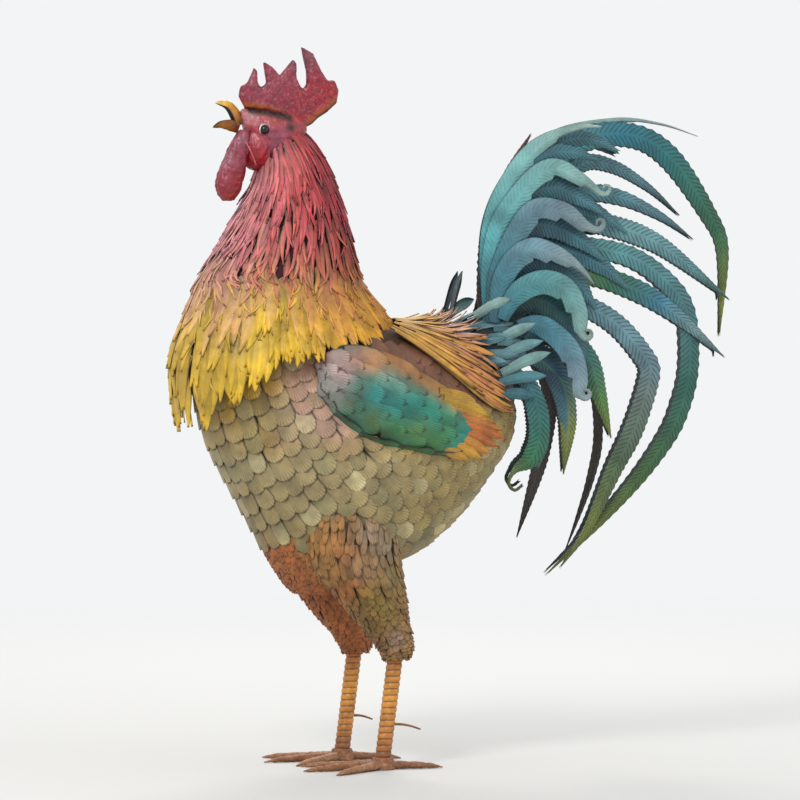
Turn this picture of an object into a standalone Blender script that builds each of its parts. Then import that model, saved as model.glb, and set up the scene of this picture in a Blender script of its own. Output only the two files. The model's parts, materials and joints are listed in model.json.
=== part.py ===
"""A garden rooster of painted sheet iron, standing on its own two feet.

The bird faces -X, its left side is -Y and up is +Z. Its pose and carving are drawn on a
grid of 615 squares from the ground to the tip of the comb, so they follow the height.
The thickness of the sheet and the gap at a weld are real sizes of their own.
"""

import math

import bmesh
import bpy
from mathutils import Matrix, Vector

FIGURE_HEIGHT = 0.615
GRID_SQUARES = 615
GRID = FIGURE_HEIGHT / GRID_SQUARES

WELD_GAP = 0.0003
MOST_SPIKE = 2.2
ROOT_GAP = 0.0006
MIDRIB = 0.0016
HALVINGS = 24
FAR_OUTSIDE = 260.0
SEWING_REACH = 0.00001

# Each oval ring is (x, z, tilt in degrees, half length, half width), in grid squares.
BODY_RINGS = (
    (-62, 377, 0, 84, 50),
    (-47, 371, 0, 103, 58),
    (-28, 357, 0, 126, 66),
    (-15, 337, 0, 139, 73),
    (-9, 313, 0, 140, 77),
    (-6, 290, 0, 137, 79),
    (-6, 270, 0, 129, 79),
    (-8, 245, 0, 113, 76),
    (-11, 219, 0, 95, 71),
    (-18, 194, 0, 74, 62),
    (-27, 176, 0, 55, 53),
    (-27, 158, 0, 43, 43),
    (-28, 150, 0, 34, 34),
)
BODY_PLAIN = (0, 1 / 12, 1 / 6, 1 / 4)
BODY_TIERS = (0.33, 0.43, 0.52, 0.61, 0.70, 0.80)
BODY_SIDES = 28
MOST_OVERLAP = 0.5
SCALE_FLARE = 2.2
SCALE_DEPTH = 8

NECK_RINGS = (
    (-77, 531, 38, 22, 18),
    (-74, 521, 34, 27, 22),
    (-71, 508, 26, 33, 28),
    (-69, 492, 16, 38, 35),
    (-69, 471, 8, 47, 42),
    (-71, 446, 3, 58, 48),
    (-73, 424, 0, 68, 53),
    (-75, 412, 0, 75, 55),
)
RED_TIERS = (0.18, 0.34, 0.50, 0.65, 0.79, 0.91)
NECK_SIDES = 24
HACKLE_FLARE = 2.6
HACKLE_DEPTH = 9

# The bib hangs from the neck to an edge that is low in front and high behind.
GOLD_TOP = 411.5
GOLD_AXIS = -75
GOLD_TIERS = (0.2, 0.4, 0.6, 0.8)
# Each edge row is (angle from the rear in degrees, height).
GOLD_EDGE = ((0, 377), (36, 374), (72, 360), (108, 345), (144, 304), (180, 294))
# Each row is (height, reach in front, to the side, behind), measured from the axis.
GOLD_REACH = (
    (412, 77, 55, 74),
    (399, 82, 58, 81),
    (384, 90, 65, 90),
    (370, 96, 72, 98),
    (355, 100, 78, 104),
    (340, 102, 82, 108),
    (325, 100, 84, 110),
    (308, 96, 84, 110),
    (292, 90, 84, 110),
)
SKIRT_LIFT = 5
SKIRT_TUCK = 12

# Each head ring is (x, z, half height, half width).
HEAD_RINGS = (
    (-112, 556, 5, 5),
    (-108, 553, 11, 10),
    (-99, 546, 19, 15),
    (-87, 541, 24, 19),
    (-73, 541, 23, 19),
    (-62, 543, 17, 15),
    (-55, 545, 8, 8),
)
HEAD_SIDES = 14
COMB_OUTLINE = (
    (-108, 561), (-114, 572), (-112, 580), (-106, 583), (-100, 596), (-97, 593),
    (-97, 584), (-94, 579), (-89, 583), (-92, 602), (-84, 597), (-77, 590),
    (-65, 604), (-62, 600), (-62, 588), (-57, 578), (-53, 583), (-53, 592),
    (-58, 615), (-47, 609), (-40, 595), (-34, 586), (-28, 587), (-24, 578),
    (-26, 567), (-35, 559), (-43, 554), (-48, 549), (-56, 545), (-70, 552),
    (-90, 558),
)  # fmt: skip
COMB_THICKNESS = 0.009
WATTLE_RINGS = (
    (-111, 543, 5, 3),
    (-115, 530, 9, 5),
    (-120, 514, 11, 6),
    (-124, 500, 12, 6.5),
    (-125, 490, 10, 5.5),
    (-125, 483, 5, 3),
)
WATTLE_SIDE = 9
WATTLE_SIDES = 10
EYE_PLACE = (-96, 543)
EYE_HEAD_SHARE = 0.375
EYE_RADIUS = 0.0042
EYE_SEGMENTS = 8
EYE_BANDS = 6
BEAK_SIDES = 8
UPPER_BEAK = (
    (-105, 558, 5, 6),
    (-114, 562, 5, 5),
    (-121, 567, 4, 4),
    (-128, 568, 2.5, 2.5),
    (-134, 566, 0.8, 0.8),
)
LOWER_BEAK = (
    (-105, 546, 4.5, 5.5),
    (-114, 544.5, 4.5, 5),
    (-123, 546, 3.2, 3.5),
    (-131, 547, 2, 2.2),
    (-137, 545, 0.8, 0.8),
)

RUMP_CENTRE = (106, 354)
RUMP_RADII = (32, 51, 31)
# The saddle's rays start halfway between the two widest rings' heights.
SHELL_HEART = (BODY_RINGS[3][1] + BODY_RINGS[4][1]) / 2
ENVELOPE_SIDES = 20
ENVELOPE_LIFT = 4.8
RUMP_SEGMENTS = 16
RUMP_BANDS = 10

# Each wing ring is (x, side, z, half height, half thickness).
WING_RINGS = (
    (-67, 71, 333, 9, 3),
    (-60, 74, 334, 21, 6),
    (-44, 77, 329, 33, 9),
    (-20, 79, 320, 39, 10),
    (10, 79, 310, 36, 10),
    (38, 76, 299, 29, 9),
    (62, 70, 290, 21, 7),
    (74, 66, 286, 13, 5),
)
WING_TIERS = (0.18, 0.36, 0.54, 0.72, 0.88)
WING_SIDES = 16
# Each flight feather is (root x, root z, tip x, tip z, side at the tip), in grid squares.
FLIGHT_FEATHERS = (
    (40, 316, 84, 301, 69),
    (38, 307, 98, 289, 65.5),
    (35, 299, 100, 276, 64),
    (31, 292, 88, 267, 69),
    (25, 285, 72, 262, 73.5),
)
FLIGHT_ROOT_SIDE = 79
FLIGHT_WIDTH = 13
FLIGHT_DEPTH = 5
FLIGHT_STAGGER = 0.9
# Each row is a share of a feather's length, then its share of the full width there.
FLIGHT_SHAPE = ((0.0, 0.8), (0.35, 1.0), (0.75, 0.85), (0.94, 0.4), (1.0, 0.1))

# Each row is (x, angle down from the ridge in degrees) where a strip starts, then where it ends.
SADDLE_ROWS = (
    (26, 0, 82, 3),
    (21, 18, 88, 34),
    (14, 34, 98, 70),
    (4, 46, 118, 118),
    (-6, 54, 92, 98),
    (-16, 61, 64, 87),
)
SADDLE_STRIPS = 6
SADDLE_STEPS = 6
SADDLE_LIFT = 5
SADDLE_SHEET = 2.2
SADDLE_PLEAT = 2.4
SADDLE_NOTCH = 0.14
DRAPE_SPAN = 16
DRAPE_SWING = 0.16

THIGH_RINGS = (
    (-27, 204, 0, 38, 24),
    (-25, 178, 0, 38, 26),
    (-10, 147, 0, 28, 23),
    (-2, 130, 0, 22, 19),
    (7, 114, 0, 16, 15),
    (12, 102, 0, 13, 12),
    (12, 94, 0, 9, 9),
)
THIGH_TIERS = (0.22, 0.44, 0.66, 0.86)
THIGH_SIDES = 12
LEG_SPREAD = 0.090
STRIDE = 0.005
SHANK_TOP = (11, 94)
SHANK_FOOT = (0, 9)
SHANK_RADIUS = 0.0072
SHANK_SIDES = 8
WRAP_COUNT = 12
WRAP_DEPTH = 0.0008
WRAP_LIP = 0.35
SPUR_ROOT_HEIGHT = 38
SPUR_RADIUS = 0.0014
SPUR_REACH = (27, -9, -4)
SPUR_RISE = 0.002
SPUR_TAPER = (1.0, 0.8, 0.5)
FOOT_HUB_RADIUS = 0.0115
FOOT_HUB_HEIGHT = 0.0105
FOOT_HUB_SIDES = 14
FOOT_HUB_TAPER = 0.8
FRONT_TOE_ANGLES = (-34, 2, 38)
FRONT_TOE_LENGTH = 0.072
HIND_TOE_ANGLE = 172
HIND_TOE_LENGTH = 0.052
TOE_WIDTH = 0.011
TOE_HEIGHT = 0.008
# Each row is a share of a toe's length, then its share of the full width there.
TOE_SHAPE = ((-0.05, 0.9), (0.12, 1.0), (0.55, 0.8), (0.82, 0.62), (1.0, 0.2))
TOE_BEVEL = 0.45

LAYER_FIRST = 3.2
LAYER_STEP = 2.7
FAN_SPREAD = 0.6
FAN_REACH = 250
BLADE_CAMBER = 0.0013
# A far feather trails its twin by a share of its place out from the middle.
FAR_SIDE_TRAIL = 0.73
FAR_TRAIL_REACH = 120
# Each feather is its layer out from the middle, its width and its midrib, in grid squares.
TAIL_FEATHERS = {
    "plume_top": (0, 8, ((123, 373), (123, 486), (164, 538), (227, 555), (272, 553), (308, 543))),
    "sickle_crest": (
        1, 21,
        ((117, 373), (140, 486), (195, 536), (243, 543), (280, 524), (317, 475), (331, 442), (328, 372)),
    ),
    "sickle_upper": (2, 14, ((125, 373), (157, 477), (194, 516), (224, 516), (258, 498), (286, 475))),
    "sickle_second": (3, 15, ((129, 373), (161, 460), (193, 490), (229, 489), (268, 473), (297, 454))),
    "sickle_third": (4, 19, ((123, 369), (155, 442), (188, 467), (216, 465), (267, 447), (330, 401))),
    "sickle_great": (
        5, 18,
        (
            (122, 365), (154, 434), (186, 445), (238, 437), (275, 412), (291, 385),
            (293, 338), (284, 303), (272, 279), (245, 244), (207, 205), (161, 164),
        ),
    ),
    "sickle_fourth": (6, 19, ((121, 360), (153, 412), (192, 422), (237, 410), (274, 390), (322, 351))),
    "sickle_inner": (
        7, 19,
        (
            (125, 356), (157, 390), (191, 394), (224, 377), (250, 348), (254, 334),
            (245, 303), (235, 279), (220, 252), (195, 202), (170, 170),
        ),
    ),
    "sickle_lower": (8, 18, ((128, 356), (165, 373), (194, 351), (205, 320), (216, 281))),
    "sickle_lowest": (9, 16, ((123, 347), (150, 347), (171, 326), (176, 295), (171, 250))),
    "covert_a": (10, 20, ((103, 382), (104, 459), (124, 506), (150, 534), (181, 547), (200, 548))),
    "covert_b": (11, 20, ((100, 373), (106, 450), (128, 489), (154, 511), (182, 502), (203, 488))),
    "covert_c": (12, 20, ((101, 369), (110, 425), (136, 472), (163, 475), (187, 461), (198, 458))),
    "covert_d": (13, 20, ((102, 365), (113, 420), (136, 442), (163, 435), (182, 425), (194, 413))),
    "covert_e": (14, 21, ((103, 360), (119, 399), (144, 414), (167, 408), (178, 389), (181, 368))),
    "covert_f": (15, 20, ((104, 356), (121, 375), (144, 377), (167, 360), (177, 339), (178, 317))),
    "curl": (
        16, 20,
        (
            (99, 348), (118, 343), (132, 326), (140, 305), (141, 281), (133, 263),
            (119, 254), (112, 243), (117, 236), (124, 240),
        ),
    ),
}  # fmt: skip
# Single feathers of the far side are (side, width, midrib).
FAR_FEATHERS = {
    "iron_sickle": (
        0, 9,
        ((152, 364), (194, 356), (212, 320), (216, 279), (209, 244), (197, 210), (186, 183)),
    ),
    "iron_quill": (3.2, 14, ((118, 352), (150, 352), (171, 322), (166, 270), (142, 195))),
}  # fmt: skip
SINGLE_FEATHERS = ("plume_top",)
SQUARES_PER_RING = 30
FEWEST_RINGS = 8
ROOT_STEP = 0.001
HEADING_STEP = 0.01
CURL_RINGS = 14

PAINTS = {
    "body_scales": (0.45, 0.38, 0.20),
    "hackle_red": (0.55, 0.07, 0.09),
    "hackle_gold": (0.72, 0.46, 0.03),
    "comb_red": (0.42, 0.02, 0.04),
    "face_red": (0.55, 0.12, 0.13),
    "beak_horn": (0.62, 0.36, 0.06),
    "eye_black": (0.01, 0.01, 0.01),
    "wing_paint": (0.08, 0.33, 0.25),
    "saddle_peach": (0.70, 0.38, 0.22),
    "thigh_rust": (0.34, 0.13, 0.04),
    "leg_ochre": (0.60, 0.25, 0.04),
    "foot_rust": (0.30, 0.12, 0.05),
    "tail_teal": (0.05, 0.25, 0.27),
    "tail_iron": (0.10, 0.07, 0.05),
}
BARE_METAL = 0.8
PAINTED_METAL = 0.15


def clear_scene():
    for thing in list(bpy.data.objects):
        bpy.data.objects.remove(thing)


def collection(name, hidden=False):
    made = bpy.data.collections.new(name)
    made.hide_render = hidden
    bpy.context.scene.collection.children.link(made)
    return made


def paint(name):
    found = bpy.data.materials.get(name)
    if found:
        return found
    made = bpy.data.materials.new(name)
    made.use_nodes = True
    shader = made.node_tree.nodes["Principled BSDF"]
    shader.inputs["Base Color"].default_value = (*PAINTS[name], 1)
    shader.inputs["Metallic"].default_value = BARE_METAL if name == "tail_iron" else PAINTED_METAL
    shader.inputs["Roughness"].default_value = 0.45
    return made


def through(points, t):
    """The row of numbers at share t of a smooth curve through the rows of a table."""
    last = len(points) - 1
    place = min(max(t, 0.0), 1.0) * last
    i = min(int(place), last - 1)
    u = place - i
    near = [points[max(0, min(last, i + step))] for step in (-1, 0, 1, 2)]
    weights = (
        -0.5 * u + u * u - 0.5 * u**3,
        1 - 2.5 * u * u + 1.5 * u**3,
        0.5 * u + 2 * u * u - 1.5 * u**3,
        -0.5 * u * u + 0.5 * u**3,
    )
    return [sum(w * row[k] for w, row in zip(weights, near)) for k in range(len(points[0]))]


def object_from(shape, name, material, home=None):
    """Makes a named object of one paint from a closed shape, its faces turned outwards."""
    if shape.calc_volume(signed=True) < 0:
        bmesh.ops.reverse_faces(shape, faces=shape.faces)
    mesh = bpy.data.meshes.new(name)
    shape.to_mesh(mesh)
    shape.free()
    mesh.materials.append(paint(material))
    made = bpy.data.objects.new(name, mesh)
    (home or FIGURE).objects.link(made)
    return made


def solid_from_rings(name, rings, material, home=None):
    """One closed solid through rings of points, with a cap on each end."""
    shape = bmesh.new()
    rows = [[shape.verts.new(point) for point in ring] for ring in rings]
    count = len(rows[0])
    for first, second in zip(rows, rows[1:]):
        for i in range(count):
            j = (i + 1) % count
            shape.faces.new((first[i], first[j], second[j], second[i]))
    shape.faces.new(rows[0][::-1])
    shape.faces.new(rows[-1])
    bmesh.ops.recalc_face_normals(shape, faces=shape.faces)
    return object_from(shape, name, material, home)


def sheet_solid(name, outer, inner, material):
    """A closed sheet between two grids of points."""
    shape = bmesh.new()
    over = [[shape.verts.new(point) for point in row] for row in outer]
    under = [[shape.verts.new(point) for point in row] for row in inner]
    rows, columns = len(over), len(over[0])
    for i in range(rows - 1):
        for j in range(columns - 1):
            shape.faces.new((over[i][j], over[i][j + 1], over[i + 1][j + 1], over[i + 1][j]))
            shape.faces.new((under[i][j], under[i + 1][j], under[i + 1][j + 1], under[i][j + 1]))
    rim = [(0, j) for j in range(columns)] + [(i, columns - 1) for i in range(1, rows)]
    rim += [(rows - 1, j) for j in range(columns - 2, -1, -1)] + [(i, 0) for i in range(rows - 2, 0, -1)]
    for (i, j), (k, m) in zip(rim, rim[1:] + rim[:1]):
        shape.faces.new((over[i][j], under[i][j], under[k][m], over[k][m]))
    bmesh.ops.recalc_face_normals(shape, faces=shape.faces)
    return object_from(shape, name, material)


def tilted_oval(row, count, side=0.0):
    """A ring of points about (x, z) at a side, its rear raised by the tilt."""
    x, z, tilt, length, width = row
    lean = math.radians(tilt)
    ring = []
    for i in range(count):
        angle = 2 * math.pi * i / count
        along = length * math.cos(angle)
        ring.append(
            Vector(
                (
                    (x + along * math.cos(lean)) * GRID,
                    side + width * math.sin(angle) * GRID,
                    (z + along * math.sin(lean)) * GRID,
                )
            )
        )
    return ring


def upright_oval(row, count):
    """A ring across the X axis. The row is (x, side, z, half height, half thickness)."""
    x, side, z, height, thickness = row
    turns = [2 * math.pi * i / count for i in range(count)]
    return [
        Vector((x, side + thickness * math.sin(turn), z + height * math.cos(turn))) * GRID
        for turn in turns
    ]


def shingled(name, rings, flare, depth, material, plain=1):
    """A loft in overlapping tiers, from its root to its tips.

    Every ring between the plain ones and the last ends a tier: it flares out to pointed
    tips, then steps back under them.
    """
    out_rings = rings[:plain]
    for k in range(plain, len(rings) - 1):
        before, ring = rings[k - 1], rings[k]
        centre = sum(ring, Vector()) / len(ring)
        flared, under = [], []
        for i, point in enumerate(ring):
            along = point - before[i]
            out = (point - centre).normalized()
            hang = min(depth * GRID, along.length * MOST_OVERLAP)
            slip = along.normalized() * hang * (0.5 if (i + k) % 2 else -0.5)
            flared.append(point + slip + out * flare * GRID)
            under.append(point + slip)
        out_rings += [flared, under]
    out_rings.append(rings[-1])
    return solid_from_rings(name, out_rings, material)


def apply_cut(target, cutter, operation="DIFFERENCE"):
    step = target.modifiers.new("cut", "BOOLEAN")
    step.operation = operation
    step.object = cutter
    step.solver = "EXACT"
    bpy.context.view_layer.update()
    graph = bpy.context.evaluated_depsgraph_get()
    mesh = bpy.data.meshes.new_from_object(target.evaluated_get(graph))
    target.modifiers.clear()
    target.data = mesh
    return target


def swollen(source):
    """The hidden cutter of a neighbour: its own shape, a weld gap larger all round."""
    cutter = bpy.data.objects.get("gap_round_" + source.name)
    if cutter:
        return cutter
    shape = bmesh.new()
    shape.from_mesh(source.data)
    shape.normal_update()
    moves = [
        (vert, vert.normal * WELD_GAP * min(vert.calc_shell_factor(), MOST_SPIKE))
        for vert in shape.verts
    ]
    for vert, move in moves:
        vert.co += move
    cutter = object_from(shape, "gap_round_" + source.name, source.data.materials[0].name, CUTTERS)
    cutter.hide_render = True
    cutter.display_type = "WIRE"
    return cutter


def keep_clear(piece, *neighbours):
    for neighbour in neighbours:
        apply_cut(piece, swollen(neighbour))
        apply_cut(piece, neighbour)
    return largest_part(piece)


def largest_part(piece):
    """Drops the chips that a cut leaves beside the piece."""
    shape = bmesh.new()
    shape.from_mesh(piece.data)
    left = set(shape.verts)
    parts = []
    while left:
        found = [left.pop()]
        for vert in found:
            near = {edge.other_vert(vert) for edge in vert.link_edges} & left
            left -= near
            found.extend(near)
        parts.append(found)
    parts.sort(key=part_size)
    for part in parts[:-1]:
        bmesh.ops.delete(shape, geom=part, context="VERTS")
    shape.to_mesh(piece.data)
    shape.free()
    return piece


def part_size(verts):
    """The volume of the box round some points."""
    sides = [max(vert.co[k] for vert in verts) - min(vert.co[k] for vert in verts) for k in range(3)]
    return sides[0] * sides[1] * sides[2]


def welded(base, *others):
    """The base with the others made one solid with it."""
    for other in others:
        apply_cut(base, other, "UNION")
        bpy.data.objects.remove(other)
    return base


def mirrored(source, name):
    """The right-hand twin of a left-hand piece."""
    shape = bmesh.new()
    shape.from_mesh(source.data)
    shape.transform(Matrix.Scale(-1, 4, (0, 1, 0)))
    return object_from(shape, name, source.data.materials[0].name)


def ball(name, centre, radii, segments, bands, material, home=None):
    shape = bmesh.new()
    bmesh.ops.create_uvsphere(shape, u_segments=segments, v_segments=bands, radius=1)
    shape.transform(Matrix.Translation(centre) @ Matrix.Diagonal((*radii, 1)))
    return object_from(shape, name, material, home)


def share_at(table, column, value):
    """The share along a table at which one of its falling columns reaches a value."""
    low, high = 0.0, 1.0
    for _ in range(HALVINGS):
        middle = (low + high) / 2
        if through(table, middle)[column] > value:
            low = middle
        else:
            high = middle
    return low


def body_oval_at(z):
    """Centre, half length and half width of the body at a height in grid squares."""
    x, _, _, length, width = through(BODY_RINGS, share_at(BODY_RINGS, 1, z))
    return x, length, width


def inside_shell(point):
    """Whether a point is in the body or in the rump."""
    x, length, width = body_oval_at(point.z)
    low, high = BODY_RINGS[-1][1], BODY_RINGS[0][1]
    if low < point.z < high and ((point.x - x) / length) ** 2 + (point.y / width) ** 2 < 1:
        return True
    place = Vector((RUMP_CENTRE[0], 0, RUMP_CENTRE[1]))
    return sum(((point[k] - place[k]) / RUMP_RADII[k]) ** 2 for k in range(3)) < 1


def reach_of_shell(start, direction):
    """How far the outer skin is from a point inside it."""
    near, far = 0.0, FAR_OUTSIDE
    for _ in range(HALVINGS):
        middle = (near + far) / 2
        if inside_shell(start + direction * middle):
            near = middle
        else:
            far = middle
    return near


def bib_ring(share, count, tuck=0.0):
    """A ring of the bib at a share of its fall. The tuck takes the ring in under the edge."""
    ring = []
    for i in range(count):
        angle = 2 * math.pi * i / count
        turned = abs(math.degrees(angle) - 180)
        edge = through(GOLD_EDGE, 1 - turned / 180)[1]
        z = GOLD_TOP + (edge - GOLD_TOP) * share
        front, aside, behind = through(GOLD_REACH, share_at(GOLD_REACH, 0, z))[1:]
        flat = math.cos(angle)
        reach = 1 / math.hypot(flat / (behind if flat > 0 else front), math.sin(angle) / aside)
        start = Vector((GOLD_AXIS, 0, z))
        direction = Vector((flat, math.sin(angle), 0))
        if z < BODY_RINGS[0][1]:
            reach = max(reach, reach_of_shell(start, direction) + SKIRT_LIFT)
        ring.append((start + direction * (reach - tuck)) * GRID)
    return ring


def body_rings(count, lift=0.0):
    rings = []
    for share in (*BODY_PLAIN, *BODY_TIERS, 1.0):
        x, z, tilt, length, width = through(BODY_RINGS, share)
        rings.append(tilted_oval((x, z, tilt, length + lift, width + lift), count))
    return rings


def make_body():
    """The scaled sheet-iron shell with the rump that carries the tail."""
    rings = body_rings(BODY_SIDES)
    body = shingled("body", rings, SCALE_FLARE, SCALE_DEPTH, "body_scales", len(BODY_PLAIN))
    return welded(body, make_rump("rump", 0.0))


def make_rump(name, gap):
    centre = Vector((RUMP_CENTRE[0], 0, RUMP_CENTRE[1])) * GRID
    radii = [radius * GRID + gap for radius in RUMP_RADII]
    return as_cutter(ball(name, centre, radii, RUMP_SEGMENTS, RUMP_BANDS, "body_scales", CUTTERS))


def as_cutter(piece):
    piece.hide_render = True
    piece.display_type = "WIRE"
    return piece


def make_envelope():
    """A smooth cutter just outside the body's scales, for what is welded onto them."""
    rings = body_rings(ENVELOPE_SIDES, ENVELOPE_LIFT)
    rise = Vector((0, 0, SCALE_FLARE * GRID))
    rings[0] = [point + rise for point in rings[0]]
    rings[-1] = [point - rise for point in rings[-1]]
    return as_cutter(solid_from_rings("body_envelope", rings, "body_scales", CUTTERS))


def make_hackles(envelope, body, wings):
    shares = (0.0, *RED_TIERS, 1.0)
    rings = [tilted_oval(through(NECK_RINGS, share), NECK_SIDES) for share in shares]
    red = shingled("hackle_red", rings, HACKLE_FLARE, HACKLE_DEPTH, "hackle_red")
    rings = [bib_ring(share, NECK_SIDES) for share in (0.0, *GOLD_TIERS, 1.0)]
    rings.append(bib_ring(1.0, NECK_SIDES, SKIRT_TUCK))
    gold = shingled("hackle_gold", rings, HACKLE_FLARE, HACKLE_DEPTH, "hackle_gold")
    apply_cut(gold, envelope)
    return red, keep_clear(gold, body, *wings)


def head_ring(row, count, side=0.0):
    x, z, height, width = row
    return upright_oval((x, side, z, height, width), count)


def make_head(red):
    head = solid_from_rings("head", [head_ring(row, HEAD_SIDES) for row in HEAD_RINGS], "face_red")
    keep_clear(red, head)
    curve = bpy.data.curves.new("comb", "CURVE")
    curve.dimensions = "2D"
    curve.fill_mode = "BOTH"
    curve.extrude = COMB_THICKNESS / 2
    spline = curve.splines.new("POLY")
    spline.points.add(len(COMB_OUTLINE) - 1)
    spline.use_cyclic_u = True
    for point, (x, z) in zip(spline.points, COMB_OUTLINE):
        point.co = (x * GRID, z * GRID, 0, 1)
    comb = mesh_of_curve(curve, "comb", "comb_red", Matrix.Rotation(math.radians(90), 4, "X"))
    upper = solid_from_rings("beak_upper", [head_ring(row, BEAK_SIDES) for row in UPPER_BEAK], "beak_horn")
    lower = solid_from_rings("beak_lower", [head_ring(row, BEAK_SIDES) for row in LOWER_BEAK], "beak_horn")
    keep_clear(upper, head)
    keep_clear(lower, head)
    keep_clear(comb, head, red, upper)
    side = -WATTLE_SIDE
    rings = [
        tilted_oval((x, z, 0, length, width), WATTLE_SIDES, side * GRID)
        for x, z, length, width in WATTLE_RINGS
    ]
    wattle = solid_from_rings("wattle_left", rings, "comb_red")
    keep_clear(wattle, head, red, lower)
    mirrored(wattle, "wattle_right")
    head_width = through(HEAD_RINGS, EYE_HEAD_SHARE)[3]
    centre = Vector((EYE_PLACE[0], -head_width, EYE_PLACE[1])) * GRID
    radii = [EYE_RADIUS] * 3
    eye = ball("eye_left", centre, radii, EYE_SEGMENTS, EYE_BANDS, "eye_black")
    keep_clear(eye, head)
    mirrored(eye, "eye_right")
    return head


def mesh_of_curve(curve, name, material, turn):
    """The closed mesh of a curve object, its caps sewn to its sides."""
    holder = bpy.data.objects.new(name + "_curve", curve)
    CUTTERS.objects.link(holder)
    bpy.context.view_layer.update()
    graph = bpy.context.evaluated_depsgraph_get()
    mesh = bpy.data.meshes.new_from_object(holder.evaluated_get(graph))
    shape = bmesh.new()
    shape.from_mesh(mesh)
    bmesh.ops.remove_doubles(shape, verts=shape.verts, dist=SEWING_REACH)
    shape.transform(turn)
    bpy.data.objects.remove(holder)
    return object_from(shape, name, material)


def make_wing(envelope):
    shares = (0.0, *WING_TIERS, 1.0)
    rings = []
    for share in shares:
        x, side, z, height, thickness = through(WING_RINGS, share)
        rings.append(upright_oval((x, -side, z, height, thickness), WING_SIDES))
    wing = shingled("wing_left", rings, SCALE_FLARE, SCALE_DEPTH, "wing_paint")
    for number, (x, z, tip_x, tip_z, tip_side) in enumerate(FLIGHT_FEATHERS):
        root = Vector((x, -FLIGHT_ROOT_SIDE + number * FLIGHT_STAGGER, z))
        tip = Vector((tip_x, -tip_side, tip_z))
        welded(wing, flight_feather(number, root, tip))
    return largest_part(apply_cut(wing, envelope))


def flight_feather(number, root, tip):
    """A straight stiff feather with a bevelled section, narrowing to a blunt point."""
    along = (tip - root).normalized()
    across = Vector((-along.z, 0, along.x)).normalized()
    out = Vector((0, -1, 0))
    rings = []
    for share, width in FLIGHT_SHAPE:
        centre = root.lerp(tip, share)
        half = FLIGHT_WIDTH / 2 * width
        depth = FLIGHT_DEPTH / 2
        ring = [
            centre + across * half,
            centre + out * depth,
            centre - across * half,
            centre - out * depth,
        ]
        rings.append([point * GRID for point in ring])
    return solid_from_rings(f"flight_{number}", rings, "wing_paint", CUTTERS)


def drape(start, turn):
    """The reach of the skin, evened out as a stiff sheet would lie over it."""
    reaches = []
    for along in (-DRAPE_SPAN, 0, DRAPE_SPAN):
        for swing in (-DRAPE_SWING, 0, DRAPE_SWING):
            lean = max(0.0, turn + swing)
            place = start + Vector((along, 0, 0))
            reaches.append(reach_of_shell(place, Vector((0, -math.sin(lean), math.cos(lean)))))
    return max(reaches[4], sum(reaches) / len(reaches))


def make_saddle(gold, wing, body):
    """Draped strips over the back: one sheet pleated into long feathers."""
    columns = 2 * SADDLE_STRIPS + 1
    over, under = [], []
    for step in range(SADDLE_STEPS):
        fall = step / (SADDLE_STEPS - 1)
        outer, inner = [], []
        for column in range(columns):
            crest = column % 2
            root_x, root_turn, tip_x, tip_turn = through(SADDLE_ROWS, column / (columns - 1))
            along = fall * (1 if crest else 1 - SADDLE_NOTCH)
            turn = math.radians(root_turn + (tip_turn - root_turn) * along)
            start = Vector((root_x + (tip_x - root_x) * along, 0, SHELL_HEART))
            direction = Vector((0, -math.sin(turn), math.cos(turn)))
            lift = drape(start, turn) + SADDLE_LIFT + SADDLE_PLEAT * fall
            outer.append((start + direction * (lift + SADDLE_SHEET + SADDLE_PLEAT * crest)) * GRID)
            inner.append((start + direction * lift) * GRID)
        outer[0].y = -WELD_GAP
        inner[0].y = -WELD_GAP
        over.append(outer)
        under.append(inner)
    saddle = sheet_solid("saddle_left", over, under, "saddle_peach")
    return keep_clear(saddle, gold, wing, body)


def make_leg(envelope, side, name, stride):
    """A thigh, its wrapped shank, the foot and the spur, at one side."""
    shift = stride / GRID
    rows = [(x + shift, z, tilt, length, width) for x, z, tilt, length, width in THIGH_RINGS]
    rings = [
        tilted_oval(through(rows, share), THIGH_SIDES, side) for share in (0.0, *THIGH_TIERS, 1.0)
    ]
    thigh = shingled("thigh_" + name, rings, SCALE_FLARE, SCALE_DEPTH, "thigh_rust")
    shank = make_shank("shank_" + name, side, stride)
    foot = make_foot("foot_" + name, side, stride)
    apply_cut(thigh, envelope)
    keep_clear(thigh, shank)
    keep_clear(foot, shank)
    keep_clear(make_spur("spur_" + name, side, stride), shank)


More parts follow.
